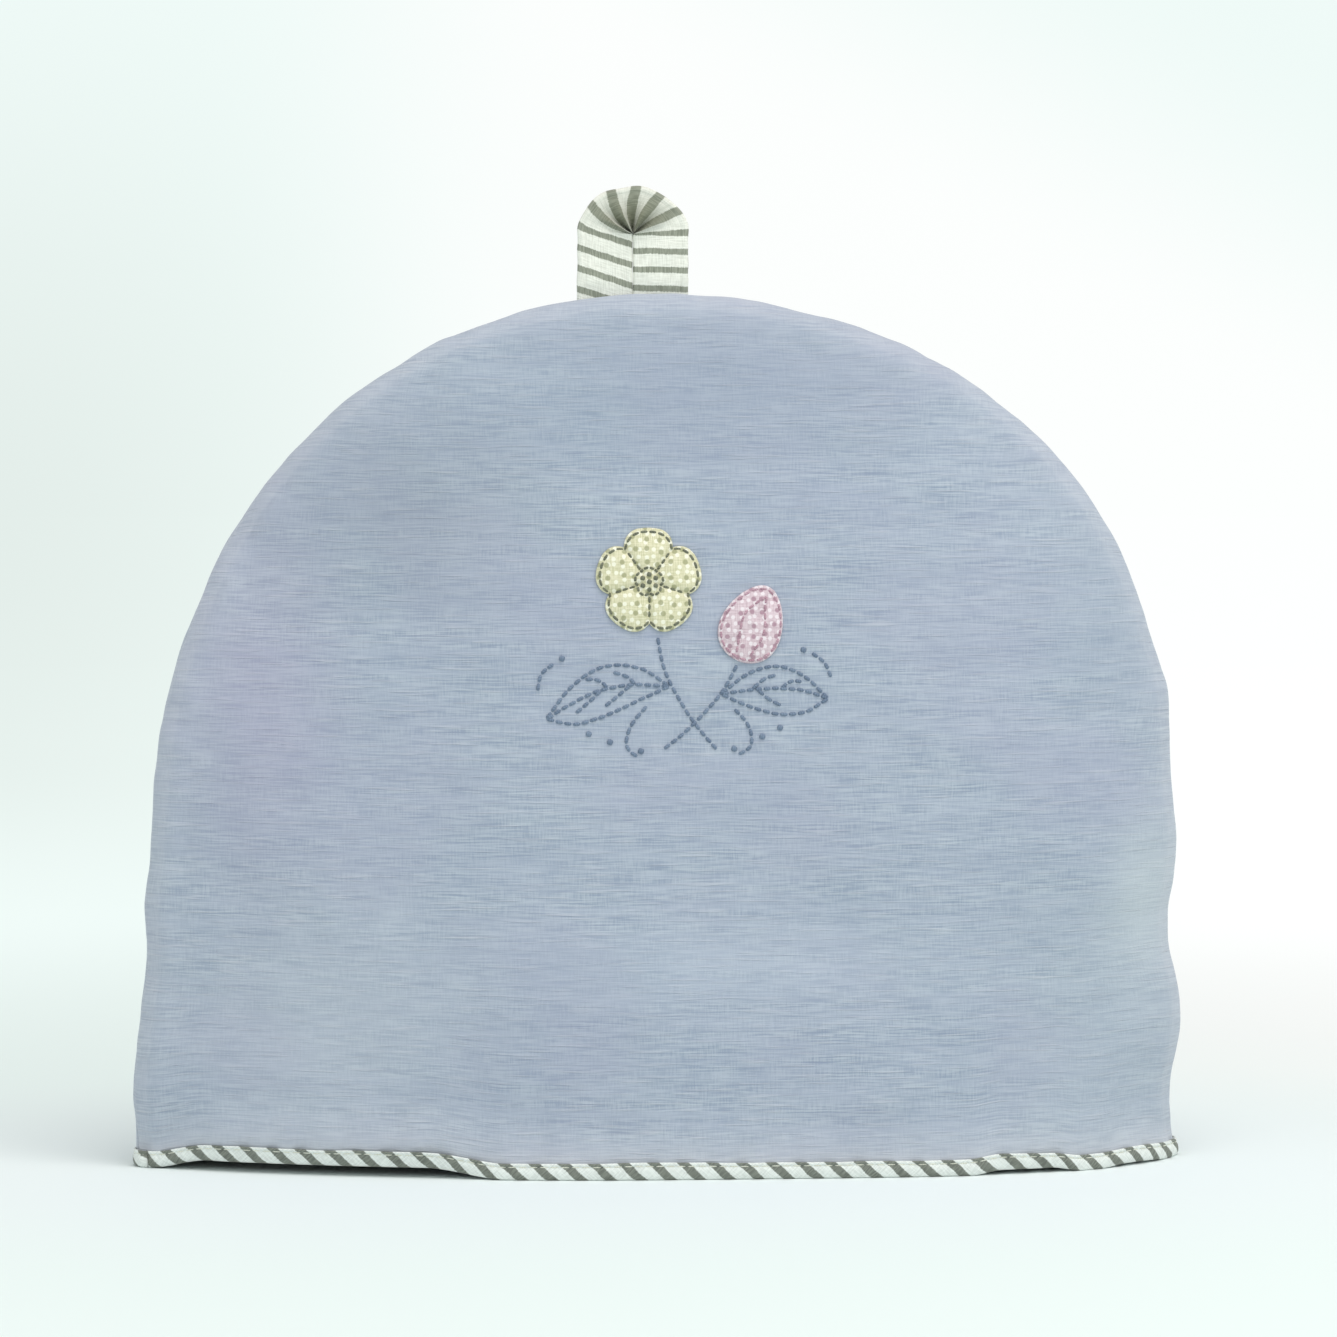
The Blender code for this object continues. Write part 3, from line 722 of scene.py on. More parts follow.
chambray = {
    "yarns": ((141, 153, 172), (177, 186, 197)),
    # paler tone: rubbed-away dye, and painted highlight at the seam's roll and above the hem
    "wornAndLit": (206, 206, 212),
    "wornAndLitSeam": (0.22, 8 * mm),  # share at the edge, and how soon it fades
    "wornAndLitHem": (0.6, 6 * mm, 5.2 * mm),  # and above what height
    "layers": (  # share, colour, reach, place and detail of the noise, and from what value to what
        (0.42, (196, 199, 208), (18, 1.0), (40, 0), 1.5, (0.57, 0.7)),  # thick yarns
        (0.34, (131, 141, 165), (24, 1.3), (90, 7), 1.5, (0.57, 0.7)),  # thin ones
        (0.5, (175, 183, 198), (34, 3.0), (11, 5), 2.0, (0.3, 0.7)),  # streaks
        (0.28, (145, 155, 175), (90, 9), (61, 3), 2.0, (0.35, 0.7)),  # bands
        (0.25, (164, 165, 187), (60, 55), (3, 2), 1.0, (0.4, 0.66)),  # fading
    ),
    "frontZones": (  # x, z, reach across, reach up, share, colour
        # the dark patch at the upper left is painted shade, the narrow pale one at the right edge a painted
        # highlight
        (-84, 208, 75, 52, 0.3, (124, 133, 144)),
        (-128, 150, 46, 95, 0.3, (174, 163, 190)),
        (4, 244, 130, 46, 0.3, (132, 146, 163)),
        (138, 42, 60, 80, 0.25, (176, 188, 193)),
        (-104, 46, 74, 66, 0.35, (190, 195, 205)),
        (152, 84, 24, 40, 0.45, (196, 205, 208)),
        (138, 182, 42, 56, 0.28, (150, 162, 177)),
        (20, 66, 120, 24, 0.24, (198, 206, 220)),
    ),
    "backZones": (
        (70, 190, 80, 60, 0.3, (130, 141, 158)),
        (-100, 80, 60, 80, 0.25, (162, 160, 186)),
    ),
}


def makeChambray(name, seed, zones):
    paint = Paint(name, Roughness=0.9, Sheen_Weight=0.22, Sheen_Roughness=0.5, Specular_IOR_Level=0.15)
    stored = paint.place()
    place = paint.scaled(stored, (1, 1, 0))
    weft = paint.cloud(place, (10, 0.5), (seed, 0, 0))  # yarns that run across
    warp = paint.cloud(place, (0.5, 5), (0, seed, 9))
    colour = paint.blend((weft * 0.7 + warp * 0.3).between(0.34, 0.66), *chambray["yarns"])
    shares = []
    for strength, tone, reach, offset, detail, limits in chambray["layers"]:
        shares.append(paint.cloud(place, reach, (seed, *offset), detail).between(*limits))
        colour = paint.blend(shares[-1] * strength, colour, tone)
    # patches of tone; on the front, some are painted shade and painted highlight
    for x, z, reachX, reachZ, strength, tone in zones:
        away = paint.length(paint.scaled(paint.shifted(place, (-x, -z, 0)), (1 / reachX, 1 / reachZ, 0)))
        colour = paint.blend((1 - away.between(0.0, 1.0)) * strength, colour, tone)
    # paler at the seam's roll and above the hem: rubbed-away dye and painted highlight
    (wornAndLit,) = paint.axes(stored, "Z")
    paint.tint(paint.blend(wornAndLit * mix(0.75, 1.25, weft), colour, chambray["wornAndLit"]))
    paint.rough(mix(0.82, 0.95, weft))
    paint.relief(weft * 0.5 + warp * 0.25 + shares[0] * 0.5, 0.22 * mm)
    return paint


def makeLining(name):
    paint = Paint(name, Roughness=0.9, Sheen_Weight=0.12, Specular_IOR_Level=0.15)
    place = paint.place()
    weft, warp, yarns = paint.woven(place, (6, 0.5), (0, 5, 9), ((214, 210, 194), (234, 231, 218)))
    fleck = paint.cloud(place, (5, 0.9), (30, 0, 0)).between(0.66, 0.78)
    paint.tint(paint.blend(fleck * 0.5, yarns, (176, 165, 140)))
    paint.relief(weft + warp, 0.2 * mm)
    return paint


ticking = {
    "hem": {
        "repeat": 6.4,  # millimetres across a dark stripe and the pale one beside it
        "dark": 0.42,  # the dark stripe's share of that
        "bunched": 0.42,
        "natural": ((213, 217, 213), (234, 238, 234)),
        "stripe": ((104, 108, 101), (134, 138, 129)),
    },
    "strap": {
        "repeat": 5.8,
        "dark": 0.33,
        "bunched": 0.74,  # the dark stripe's share where the cloth is drawn together
        "natural": ((221, 221, 211), (241, 241, 232)),
        "stripe": ((132, 135, 122), (160, 163, 149)),
    },
    "shadow": (90, 92, 68),  # of the drawn-up cloth
    "shade": 0.64,
}


def makeTicking(name, kind):
    look = ticking[kind]
    paint = Paint(name, Roughness=0.85, Sheen_Weight=0.12, Specular_IOR_Level=0.2)
    stored = paint.place()
    across, bunched = paint.axes(stored, "XZ")
    place = paint.scaled(stored, (1, 1, 0))
    weft, warp, pale = paint.woven(place, (0.4, 4), (8, 0, 4), look["natural"])
    waver = (paint.cloud(place, (14, 5), (0, 20, 0)) - 0.5) * 0.7
    ragged = (paint.cloud(place, (0.9, 0.45), (3, 0, 2)) - 0.5) * 0.5
    away = (((across + waver + ragged) / look["repeat"]).fraction() - 0.5).size()
    half = (bunched * (look["bunched"] - look["dark"]) + look["dark"]) * 0.5
    stripe = paint.blend(warp.between(0.3, 0.7), *look["stripe"])
    colour = paint.blend(1 - away.between(half - 0.03, half + 0.02), pale, stripe)
    # painted shadow in the folds where the cloth is drawn together
    paint.tint(paint.blend(bunched * ticking["shade"], colour, ticking["shadow"]))
    paint.rough(mix(0.78, 0.92, warp))
    paint.relief(weft * 0.5 + warp * 0.6, 0.25 * mm)
    return paint


def makePrint(name, ground, *prints):
    paint = Paint(name, Roughness=0.85, Sheen_Weight=0.15, Specular_IOR_Level=0.2)
    place = paint.place()
    weft, warp, colour = paint.woven(place, (5, 0.32), (0, 7, 3), ground)
    settings = {"feature": "F1", "voronoi_dimensions": "2D"}
    for repeat, size, offset, ink in prints:
        spots = paint.scaled(paint.shifted(place, (offset, offset / 3, 0)), (1 / repeat,) * 3)
        away = paint.add("TexVoronoi", settings, {"Vector": spots, "Scale": 1.0, "Randomness": 0.45})
        colour = paint.blend((1 - away.between(size - 0.05, size + 0.05)) * 0.85, colour, ink)
    paint.tint(colour)
    paint.relief(weft + warp, 0.12 * mm)
    return paint


def makeThread(name, *pair, shine=0.35):
    paint = Paint(name, Roughness=0.5, Sheen_Weight=0.2, Specular_IOR_Level=shine)
    along, around, number = paint.axes(paint.place(), "XYZ")
    ridge = ((along / 0.8 + around).fraction() - 0.5).size() * 2  # of each ply
    paint.tint(paint.blend(ridge * 0.5 + (number * 0.618).fraction() * 0.5, *pair))
    paint.rough(mix(0.45, 0.7, ridge))
    paint.relief(ridge, 0.12 * mm)
    return paint


frontChambray = makeChambray("chambray", 0.0, chambray["frontZones"])
backChambray = makeChambray("chambray_back", 57.0, chambray["backZones"])
lining = makeLining("natural_cotton")

# The motif: where each line of sewing runs on the front, in millimetres

motif = {
    "blossom": {
        "middle": (-6, 183),
        "radius": 16.5,
        "petals": 5,
        "notch": 0.22,
        "edgeSewing": 0.93,  # shares of the way from its middle to its edge
        "heartSewing": 0.27,
        "petalSewing": (0.34, 0.86),
        "knots": (6, 2.3, 1.5),  # how many round one in the middle, how far from it, size
    },
    "bud": {
        "middle": (26, 170),
        "radius": 9.5,
        "lengthen": 1.3,
        "taper": 0.22,
        "lean": -24.0,
        "edgeSewing": 0.92,
        "bends": (-0.42, 0.3),  # of the two lines up it
    },
    "stems": (  # lines of back stitch in slate blue
        ((-3.5, 166), (-1.5, 156), (3.5, 146), (8.5, 138.5), (14.5, 131.5)),
        ((21, 157.5), (16.5, 149.5), (10, 142), (3.5, 136), (-2, 131.8)),
        ((0, 151), (-9, 156.5), (-20, 157), (-30, 151), (-38, 141)),
        ((0, 151), (-10, 146.5), (-20, 142), (-29, 139.5), (-38, 141)),
        ((0, 151), (-11, 151.5), (-22, 149.5), (-30.5, 145.5), (-38, 141)),
        ((16, 148.5), (24, 154.5), (33, 157), (41.5, 154), (49, 147)),
        ((16, 148.5), (24, 145), (32.5, 142.5), (41.5, 142.8), (49, 147)),
        ((16, 148.5), (25, 149.8), (34, 150.2), (42, 149.4), (49, 147)),
        ((-10.5, 151.5), (-13, 154), (-17.5, 155.2)), ((-12, 151.3), (-16, 148), (-20, 144.8)),
        ((-19, 150.4), (-22, 153), (-26, 153)), ((-21, 149.8), (-25, 146), (-29, 142.8)),
        ((25.5, 149.9), (29, 153), (33, 154.4)), ((27, 150.1), (30.5, 147), (34.5, 145)),
        ((34.5, 150.2), (37.5, 152.4), (41, 152.2)), ((-7, 145), (-12, 139), (-13.5, 132.5), (-10, 129.5)),
        ((20, 144), (24.5, 138.5), (25, 132.5), (21, 130)), ((-35.5, 158), (-39.5, 154.5), (-40.5, 149.5)),
        ((44, 161), (48, 158), (50, 153.5)),
    ),
    "knotSize": 1.9,
    "knots": (  # slate blue knots
        (-33, 159.5), (-9, 131.2), (19.8, 131.8), (41.5, 162), (-25, 136.5), (34, 138.2),
        (-18.5, 134), (28.5, 135.5),
    ),
}


def curveThrough(places, steps=14):  # a smooth line through a few places
    rows = [np.array(place, float) for place in places]
    rows = [2 * rows[0] - rows[1], *rows, 2 * rows[-1] - rows[-2]]
    line = []
    for a, b, c, d in zip(rows, rows[1:], rows[2:], rows[3:]):
        for t in np.arange(steps) / steps:
            line.append(0.5 * (2 * b + (c - a) * t + (2 * a - 5 * b + 4 * c - d) * t**2
                               + (3 * b - 3 * c + d - a) * t**3))
    return np.array([*line, rows[-2]])


def blossomAway(angle):
    shape = motif["blossom"]
    dip = np.abs(np.cos(shape["petals"] * angle / 2))
    radius = shape["radius"] * (1 - shape["notch"] * (1 - dip) ** 2)
    return together(np.sin(angle) * radius, np.cos(angle) * radius)


def budAway(angle):
    shape = motif["bud"]
    x = shape["radius"] * np.sin(angle) * (1 - shape["taper"] * np.cos(angle))
    z = shape["radius"] * shape["lengthen"] * np.cos(angle)
    lean = math.radians(shape["lean"])
    return together(x * math.cos(lean) - z * math.sin(lean), x * math.sin(lean) + z * math.cos(lean))


patchShapes = {"blossom": blossomAway, "bud": budAway}
allRound = np.linspace(0, 2 * math.pi, 161)


def onPatch(name, angle, share):  # share 0 is its middle, 1 its edge
    return np.array(motif[name]["middle"]) + patchShapes[name](np.array(angle)) * share


stemLines = [curveThrough(places) for places in motif["stems"]]
sewnPlaces = np.concatenate([*(onPatch(name, allRound, 1.0) for name in patchShapes), *stemLines]) * mm


def sewingPull(points):  # the panel is drawn in along every line of sewing
    x, z = points[:, 0], points[:, 2]
    sink, reach = cloth["sink"]
    (middleX, halfX), (middleZ, halfZ) = cloth["sinkWithin"]
    near = (np.abs(x - middleX) < halfX) & (np.abs(z - middleZ) < halfZ)
    pull = np.zeros(len(points))
    gaps = np.hypot(x[near][:, None] - sewnPlaces[:, 0], z[near][:, None] - sewnPlaces[:, 1])
    pull[near] = -sink * np.exp(-((gaps.min(axis=1) / reach) ** 2))
    return pull


frontPanel = makePanel("chambray_front", front, frontChambray, lining)
backPanel = makePanel("chambray_rear", back, backChambray, lining)
for panel, node in ((frontPanel, "front_panel"), (backPanel, "back_panel")):
    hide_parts(node)
    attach(panel, "root")
    print(panel.name, "made,", len(panel.data.polygons), "faces")


# The hem's binding: a strip of ticking cut on the slant, folded over both panels' raw edges

binding = {
    "stations": 300,  # along each side, between the rolled edges
    "section": (  # the line it follows, then how far outside the cloth and how high, all round the strip
        ("outside", (0.32, 4.95), (0.62, 5.22), (0.98, 5.28), (1.24, 5.08), (1.36, 4.75), (1.24, 4.4),
         (1.02, 4.15), (1.22, 3.85), (1.42, 3.4), (1.52, 2.6), (1.48, 1.8), (1.34, 1.05), (1.02, 0.42),
         (0.56, 0.06), (0.0, 0.0)),
        ("inside", (0.0, 0.0), (0.56, 0.06), (1.02, 0.42), (1.34, 1.1), (1.46, 2.3), (1.4, 3.4),
         (1.02, 4.1), (1.34, 4.6), (1.1, 5.2), (0.5, 5.25), (0.3, 4.8), (0.3, 1.0)),
        ("outside", (0.3, 1.0)),
    ),
    "repeat": 9.03 * mm,  # of the stripes along the hem
    "tugs": ((11 * mm, 0.294 * mm), (5 * mm, 0.21 * mm)),  # out and in, reach and height
    "tugged": (0.9, 1.5),  # millimetres out and up by which it gives way to the whole of a tug
    "sway": ((26 * mm, 0.45 * mm), (8 * mm, 0.175 * mm)),  # up and down
    "swayed": (2, 5),  # the heights at which that begins and is whole
    "leastDepth": 0.02 * mm,  # half the space between its inner sides at the seam
    "stitch": (2.5, 0.75, 1.06, 4.18),  # length, gap, how far outside the cloth, height, in millimetres
    "ahead": 0.5,  # a step outward in millimetres, to find which way the strip faces
}


def hemLine(which):  # one side's hem from left to right: x and depth of the cloth's surface
    shares = np.linspace(-1, 1, binding["stations"])
    x = shares * (body["halfWidth"] - squeezed["roll"])
    if which == "outside":
        middle = together(x, outerDepth(x, body["base"]))
        angles = np.radians(np.arange(80, -1, -8))
        rollX = body["halfWidth"] - squeezed["roll"] * (1 - np.cos(angles))
        rollDepth = mix(squeezed["crest"], squeezed["edge"], np.sin(angles))
        roll = together(rollX, rollDepth + outsideFace.bowAt(rollX, body["base"]))
        return np.concatenate([roll[::-1] * (-1, 1), middle, roll])
    wide = body["halfWidth"] - squeezed["cavityInset"]
    stations = hemLine("outside")[:, 0] / body["halfWidth"]
    deep = cavityDepth(0.0, body["base"])
    return together(stations * wide, np.maximum(deep * standOut(stations), binding["leastDepth"]))


def hemRing(which, clearance):  # all round both panels, moved off the cloth by a clearance
    one = hemLine(which)
    if which == "inside":
        wide, deep = one[:, 0].max(), one[:, 1].max()
        slope = np.arctan(mouthPower(one[:, 0]) * deep / wide)
        across = (wide - clearance / np.sin(slope)) / wide
        one = together(one[:, 0] * across, one[:, 1] * (deep - clearance) / deep)
    ring = np.concatenate([one * (1, -1), one[::-1]])
    if which == "outside":
        along = np.roll(ring, -1, axis=0) - np.roll(ring, 1, axis=0)
        along /= np.hypot(along[:, 0], along[:, 1])[:, None]
        ring = ring + together(along[:, 1], -along[:, 0]) * clearance
    return ring


def ringLengths(ring):
    steps = np.hypot(*(np.roll(ring, -1, axis=0) - ring).T)
    return travel(steps)[:-1], steps.sum()


def bindingRings(section):  # uneven as sewn cloth is, and their place in the pattern of stripes
    lengths, total = ringLengths(hemRing("outside", 0.0))
    tugs = wanderAlong(lengths, 21, *binding["tugs"])
    sway = wanderAlong(lengths, 23, *binding["sway"])
    out, up = binding["tugged"]
    rings = []
    for which, clearance, height in ((which, *place) for which, *places in section for place in places):
        free = ease(clearance / out) * ease(height / up)
        ring = hemRing(which, clearance * mm)
        away = hemRing(which, (clearance + binding["ahead"]) * mm) - ring
        away = away / np.maximum(np.hypot(*away.T), 1e-9)[:, None]
        ring = ring + away * (tugs * free)[:, None]
        rings.append(settle(ring[:, 0], ring[:, 1], height * mm + sway * ramp(height, *binding["swayed"])))
    return rings, lengths * round(total / binding["repeat"]) * binding["repeat"] / total


def makeBinding(name, paint):
    rings, along = bindingRings(binding["section"])
    widths = [np.linalg.norm(upper - lower, axis=1).mean() for lower, upper in zip(rings, rings[1:])]
    weave = []
    for across in travel(widths):  # the stripes lie at 45 degrees
        weave.append(together(along - across, along + across, 0.0) * math.sqrt(0.5))
    rows = grid(len(rings), len(along), 0)
    faces = strips([*rows, rows[0]], closed=True)
    return meshObject(name, np.concatenate(rings), faces, [paint], np.concatenate(weave))


hemTicking = makeTicking("hem_ticking", "hem")
hem = makeBinding("bias_binding", hemTicking)
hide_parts("hem_binding")
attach(hem, "root")
print("binding made")


# The hanging loop: a flat folded strap of ticking bent round edgewise, its inner edge bunched up

strap = {
    "width": 17.4 * mm,
    "slit": 0.02 * mm,
    "thickness": 3.0 * mm,
    "bendAbove": 18.8 * mm,  # the bend's middle above the ridge
    "flatten": 0.87,
    "foot": 5.0 * mm,
    "footThickness": 1.8 * mm,
    "gather": 2.6 * mm,  # how much thicker it is, bunched up
    "gatherAcross": (-0.5, 0.8),  # from outer to inner edge, where that begins and is whole
    "folds": 9,
    "foldDepth": 1.9 * mm,
    "foldAcross": (-0.75, 0.65),
    "foldBend": (0.0, 0.625),  # the same along the bend
    "foldStray": (0.9, 2.3),  # how far the folds are off an even spacing, and how often
    "darkAcross": (-1.5, 0.5),  # where the stripes are drawn together and the painted shadow of the folds falls
    "darkBend": (0.0, 1 / 1.3),
    "footRise": 5 * mm,  # over which the foot, caught in the seam, comes free
    "lumps": (6 * mm, 0.45 * mm),  # reach, height
    "edgeWaver": (5 * mm, 0.85 * mm),
    "edgeShares": (1.0, -0.2),  # of that, at the outer and the inner edge
    "section": (  # across the strap from outer to inner edge, share of the thickness
        (-1.0, 0.0), (-0.985, 0.42), (-0.94, 0.78), (-0.87, 0.96), (-0.8, 0.98), (-0.73, 0.8), (-0.66, 0.94),
        (-0.5, 1.0), (-0.33, 1.02), (-0.16, 1.02), (0.0, 1.02), (0.16, 1.02), (0.33, 1.0), (0.5, 0.97),
        (0.66, 0.92), (0.74, 0.8), (0.82, 0.94), (0.9, 0.94), (0.965, 0.82), (1.0, 0.45),
    ),
    "legSteps": 22,
    "bendSteps": 84,
    "bendRepeats": 6,  # stripes round the bend
    "stripeStart": 3.4 * mm,
    "leftStretch": 1.1,
    "leftSlant": 0.3,
    "rightSlant": 0.02,
}


def strapRoute():  # point, way inward, share of the bend, turn, place in the pattern of stripes
    centre = np.array([strapMiddle, 0.0, body["ridge"] + strap["bendAbove"]])
    radius = (strap["width"] + strap["slit"]) / 2
    length, bend = strap["bendAbove"] + strap["foot"], strap["bendRepeats"] * ticking["strap"]["repeat"] * mm
    legs = [length * step / strap["legSteps"] for step in range(strap["legSteps"] + 1)]
    route = [(0.0, drop, -drop / strap["leftStretch"]) for drop in legs[:0:-1]]
    for share in np.arange(strap["bendSteps"] + 1) / strap["bendSteps"]:
        route.append((math.pi * share, 0.0, bend * share))
    route += [(math.pi, drop, bend + drop) for drop in legs[1:]]
    for turn, drop, stripes in route:
        outward = np.array((-math.cos(turn), 0, math.sin(turn) * strap["flatten"]))
        yield centre + outward * radius - (0, 0, drop), -outward, math.sin(turn), turn, stripes


def strapSurface(route, across, side):  # a point of the strap
    middle, inward, bend, turn, stripes = route
    fullHere = float(np.interp(across, *zip(*strap["section"])))
    free = float(ease((middle[2] - body["ridge"]) / strap["footRise"]))
    thickness = mix(strap["footThickness"], strap["thickness"], free)
    bunch = strap["gather"] * bend * float(ramp(across, *strap["gatherAcross"]))
    stray, often = strap["foldStray"]
    wave = math.sin(turn * strap["folds"] + stray * math.sin(turn * often + side))
    fold = strap["foldDepth"] * ramp(bend, *strap["foldBend"]) * ramp(across, *strap["foldAcross"]) * wave
    place = middle + inward * strap["width"] / 2 * across
    reach, height = strap["lumps"]
    lump = noise.noise(Vector(place) / reach + Vector((0, side * 4, 2))) * height
    reach, height = strap["edgeWaver"]
    waver = noise.noise(Vector((stripes / reach, across * 0.7, 3.3))) * height
    place = place - inward * waver * free * mix(*strap["edgeShares"], (across + 1) / 2)
    depth = side * ((thickness + bunch) / 2 * fullHere) + (fold + lump) * free * min(fullHere * 2, 1)
    return place + (0, depth, 0)


def makeStrap(name, paint):
    shares = [share for share, _ in strap["section"]]
    ring = [(share, front) for share in shares] + [(share, back) for share in reversed(shares[1:-1])]
    points, weave, rows = [], [], []
    for route in strapRoute():
        bend, turn, stripes = route[2:]
        slant = mix(strap["leftSlant"], strap["rightSlant"], float(ease(turn / math.pi)))
        rows.append(numbers(len(points), len(ring)))
        for across, side in ring:
            points.append(strapSurface(route, across, side))
            sideways = across * strap["width"] / 2
            # how far the stripes are drawn together, which also sets the painted shadow
            dark = float(ramp(bend, *strap["darkBend"]) * ramp(across, *strap["darkAcross"]))
            weave.append((stripes + strap["stripeStart"] + sideways * slant, sideways, dark * mm))
    faces = strips(rows, closed=True) + [tuple(rows[0]), tuple(reversed(rows[-1]))]
    return meshObject(name, points, faces, [paint], weave)


strapTicking = makeTicking("strap_ticking", "strap")
loop = makeStrap("ticking_loop", strapTicking)
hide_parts("hanging_loop")
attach(loop, "root")
print("hanging loop made")


# The two sewn-on patches

patches = {
    "cloth": 0.75 * mm,
    "off": 0.12 * mm,
    "rings": (0.06, 0.13, 0.22, 0.32, 0.42, 0.52, 0.62, 0.71, 0.79, 0.86, 0.92, 0.96, 0.985, 1.0),
    "steps": 200,
    "edge": (0.45, 0.03),  # share of its thickness at the edge, and how soon the whole of it is reached
    "puff": 1.25 * mm,
    "puffPower": 2.6,  # how flat the puff is
    "rim": 0.09,  # share of the patch over which it rises from its edge
    "dip": 1.05 * mm,
    "dips": {  # share of that, half width, share of the patch over which it deepens
        "blossom": (0.9, 1 / 5.2, 0.3),  # between two petals
        "bud": (0.7, 1 / 6, 0.2),  # along its fold
    },
    "heartDip": (0.6, 0.07),  # the same round the blossom's middle: share, half width
    "foldTurn": 0.35,
    "lumps": (4 * mm, 0.2 * mm),  # reach, height
}


def treesOf(*objects):
    meshes = [item.data for item in objects]
    corners = [([point.co.copy() for point in mesh.vertices], mesh.polygons) for mesh in meshes]
    return [BVHTree.FromPolygons(places, [face.vertices[:] for face in faces]) for places, faces in corners]


def onFront(trees, x, z):  # the nearest surface to a viewer in front, and the way it faces
    best = None
    for tree in trees:
        hit, normal, _, away = tree.ray_cast(Vector((x, -0.3, z)), Vector((0, 1, 0)))
        if hit is not None and (best is None or away < best[2]):
            best = (hit, normal if normal.y < 0 else -normal, away)
    return best[0], best[1]


def groove(place, width):  # 1 on the line, and nothing far from it
    return math.exp(-((place / width) ** 2))


def patchLift(name, share, angle, x, z):
    rim = float(ease((1 - share) / patches["rim"]))
    puff = patches["puff"] * (1 - share ** patches["puffPower"]) * rim
    if name == "blossom":
        aside = abs(math.cos(motif["blossom"]["petals"] * angle / 2))  # 0 on the line between two petals
        deep, half = patches["heartDip"]
        puff -= patches["dip"] * deep * groove(share - motif["blossom"]["heartSewing"], half)
    else:
        aside = abs(math.sin(angle - patches["foldTurn"]))
    deep, half, whole = patches["dips"][name]
    puff -= patches["dip"] * deep * groove(aside * share, half) * rim * ease(share / whole)
    reach, height = patches["lumps"]
    return puff + noise.noise(Vector((x, z, 0)) / reach) * height * rim


def makePatch(name, paint, trees):
    steps = patches["steps"]
    thinnest, soon = patches["edge"]
    points, weave, layers = [], [], []

    def place(share, angle, top):
        x, z = onPatch(name, angle, share) * mm
        ground, facing = onFront(trees, x, z)
        lift = patches["off"]
        if top:
            thick = patches["cloth"] * min(1, (1 - share) / soon + thinnest)
            lift += thick + patchLift(name, share, angle, x, z)
        points.append(ground + facing * lift)
        weave.append((x, z, 0.0))

    for top in (False, True):
        rows = []
        for share in patches["rings"]:
            rows.append(numbers(len(points), steps))
            for step in range(steps):
                place(share, 2 * math.pi * step / steps, top)
        place(0.0, 0.0, top)
        layers.append((rows, len(points) - 1))
    faces = []
    for rows, centre in layers:
        faces += strips(rows, closed=True)
        faces += [(centre, rows[0][(i + 1) % steps], rows[0][i]) for i in range(steps)]
    faces += strips([layers[0][0][-1], layers[1][0][-1]], closed=True)
    return meshObject(name + "_applique", points, faces, [paint], weave)


yellowPrint = makePrint(
    "yellow_print", ((200, 197, 161), (227, 222, 194)),
    (2.4, 0.27, 0.0, (243, 241, 224)), (3.9, 0.2, 11.3, (160, 160, 124)),  # pale dots and darker marks
)
pinkPrint = makePrint(
    "pink_print", ((196, 174, 183), (220, 203, 210)),
    (2.2, 0.27, 0.0, (234, 225, 230)), (3.6, 0.2, 11.3, (166, 132, 147)),
)
blossom = makePatch("blossom", yellowPrint, treesOf(frontPanel))
bud = makePatch("bud", pinkPrint, treesOf(frontPanel))
for patch, node, slot in ((blossom, "blossom_patch", "yellow_cotton"), (bud, "bud_patch", "pink_cotton")):
    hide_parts(node)
    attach(patch, "root")
print("patches made")


# Sewing: every stitch is a short length of thread that dips into the cloth at both ends

thread = {
    "shares": (0.0, 0.08, 0.24, 0.5, 0.76, 0.92, 1.0),
    "taper": (0.35, 0.8, 1.0, 1.0, 1.0, 0.8, 0.35),
    "sides": 7,
    "sunk": 0.35,  # share of its radius below the cloth at both ends
    "stray": 0.125,  # how far a stitch is off its line, in millimetres
}
stitches = {  # length and gap, in millimetres
    "stems": (2.3, 0.35),
    "blossomEdge": (2.2, 0.5),
    "petals": (2.0, 0.4),
    "blossomHeart": (1.6, 0.3),
    "budEdge": (2.1, 0.5),
    "budLines": (2.0, 0.45),
}


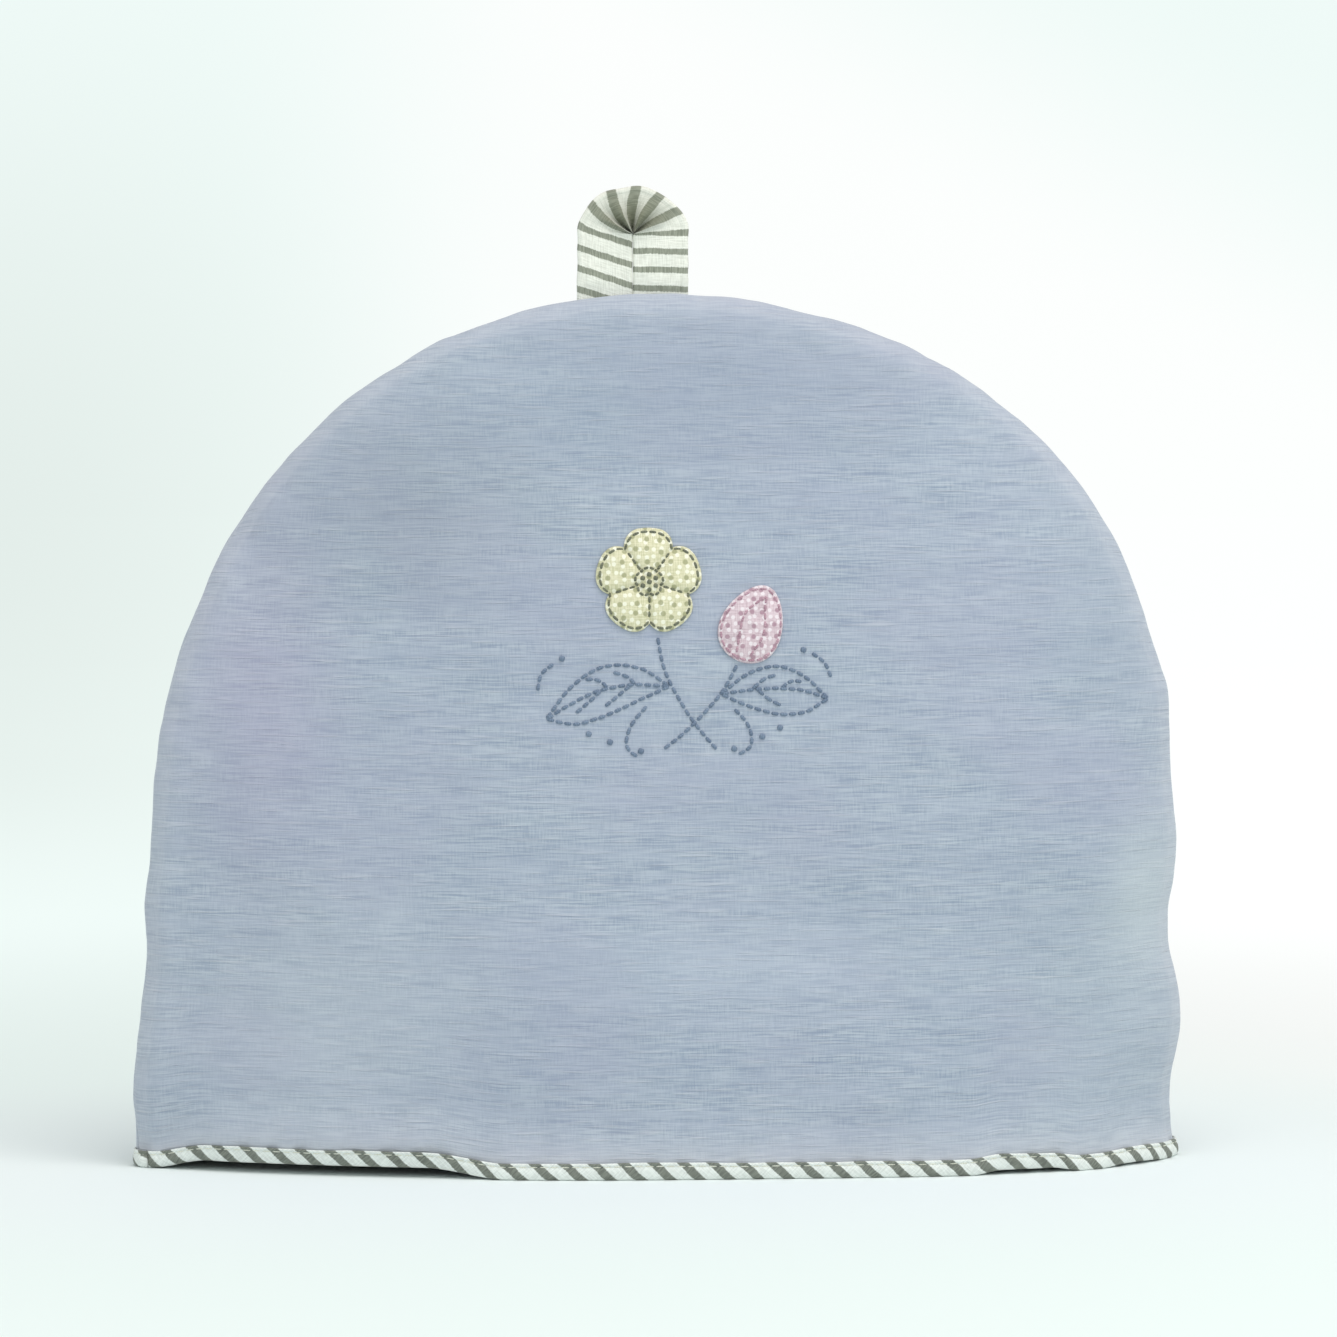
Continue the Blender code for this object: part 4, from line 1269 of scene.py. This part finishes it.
class Sewing:  # gathers stitches into one piece of one thread
    def __init__(self, name, paint, thickness, rise, trees=()):
        self.name, self.paint, self.trees = name, paint, trees
        self.thickness, self.rise = thickness * mm, rise * mm
        self.points, self.weave, self.faces, self.count = [], [], [], 0

    def stitch(self, start, end, facing, thickness=None):
        along = end - start
        length = max(along.length, 1e-6)
        along = along / length
        sideways = along.cross(facing).normalized()
        radius = (thickness or self.thickness) / 2
        rows = []
        for share, taper in zip(thread["shares"], thread["taper"]):
            lift = self.rise * math.sin(math.pi * share) - radius * thread["sunk"]
            middle = start + along * length * share + facing * lift
            rows.append(numbers(len(self.points), thread["sides"]))
            for side in range(thread["sides"]):
                turn = 2 * math.pi * side / thread["sides"]
                out = sideways * math.cos(turn) + facing * math.sin(turn)
                self.points.append(middle + out * radius * taper)
                self.weave.append((share * length, side / thread["sides"] * mm, self.count * mm))
        self.faces += strips(rows, closed=True) + [tuple(reversed(rows[0])), tuple(rows[-1])]
        self.count += 1

    def run(self, line, length, gap):  # back stitch on the front, in millimetres
        travelled = travel(np.hypot(*np.diff(line, axis=0).T))
        whole = max(round(travelled[-1] / (length + gap)), 1)
        pitch = travelled[-1] / whole
        for number in range(whole):
            stray = noise.noise(Vector((self.count * 1.7, 0.4, 0))) * thread["stray"]
            places = []
            for end in (number * pitch + gap / 2, (number + 1) * pitch - gap / 2):
                x, z = (np.interp(end, travelled, line[:, axis]) for axis in (0, 1))
                places.append(onFront(self.trees, x * mm, (z + stray) * mm))
            (start, startFacing), (end, endFacing) = places
            self.stitch(start, end, (startFacing + endFacing).normalized())

    def knot(self, x, z, size):
        place, facing = onFront(self.trees, x * mm, z * mm)
        tangent = facing.cross(Vector((0.3, 0, 1))).normalized() * size * mm * 0.5
        self.stitch(place - tangent, place + tangent, facing, size * mm)

    def make(self):
        made = meshObject(self.name, self.points, self.faces, [self.paint], self.weave)
        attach(made, "root")
        print(self.name, "made,", self.count, "stitches")
        return made


slateThread = makeThread("slate_thread", (92, 108, 132), (124, 140, 162))
oliveThread = makeThread("olive_thread", (88, 91, 76), (124, 127, 106))
roseThread = makeThread("rose_thread", (160, 122, 138), (196, 160, 174))
creamThread = makeThread("cream_thread", (206, 206, 190), (236, 235, 222), shine=0.3)

motifTrees = treesOf(frontPanel, blossom, bud)
stems = Sewing("stem_sewing", slateThread, 1.15, 0.3, motifTrees)
for line in stemLines:
    stems.run(line, *stitches["stems"])
for x, z in motif["knots"]:
    stems.knot(x, z, motif["knotSize"])
stems.make()

blossomSewing = Sewing("blossom_sewing", oliveThread, 0.85, 0.25, motifTrees)
flower = motif["blossom"]
blossomSewing.run(onPatch("blossom", allRound, flower["edgeSewing"]), *stitches["blossomEdge"])
for number in range(flower["petals"]):  # from near the middle out to the notch between two petals
    angle = (number + 0.5) * 2 * math.pi / flower["petals"]
    line = onPatch("blossom", angle, np.linspace(*flower["petalSewing"], 20)[:, None])
    blossomSewing.run(line, *stitches["petals"])
blossomSewing.run(onPatch("blossom", allRound, flower["heartSewing"]), *stitches["blossomHeart"])
x, z = flower["middle"]
count, away, size = flower["knots"]
for angle in np.radians(np.arange(count) * 360 / count):
    blossomSewing.knot(x + math.sin(angle) * away, z + math.cos(angle) * away, size)
blossomSewing.knot(x, z, size)
blossomSewing.make()

budSewing = Sewing("bud_sewing", roseThread, 0.75, 0.25, motifTrees)
budSewing.run(onPatch("bud", allRound, motif["bud"]["edgeSewing"]), *stitches["budEdge"])
for bend in motif["bud"]["bends"]:  # each place is its direction from the middle and its share of the way out
    foot, belly = (math.pi * 0.96 - bend * 0.6, 0.84), (math.pi - bend * 4.2, 0.42)
    neck, tip = (bend, 0.55), (0.1, 0.78)
    line = curveThrough([onPatch("bud", *place) for place in (foot, belly, neck, tip)])
    budSewing.run(line, *stitches["budLines"])
budSewing.make()

# Machine sewing that holds the binding

machine = Sewing("machine_sewing", creamThread, 0.42, 0.12)
length, gap, clearance, height = binding["stitch"]
for which in ("outside", "inside"):
    rings, _ = bindingRings([(which, (clearance, height), (clearance + binding["ahead"], height))])
    ring, outline = (np.vstack([ring, ring[:1]]) for ring in rings)
    travelled = travel(np.linalg.norm(np.diff(ring, axis=0), axis=1))
    whole = round(travelled[-1] / ((length + gap) * mm))
    pitch = travelled[-1] / whole
    for number in range(whole):
        start, end, off = (
            Vector([np.interp((number + share) * pitch, travelled, line[:, axis]) for axis in range(3)])
            for share, line in ((0.0, ring), (length / (length + gap), ring), (0.0, outline))
        )
        machine.stitch(start, end, (off - start).normalized())
machine.make()
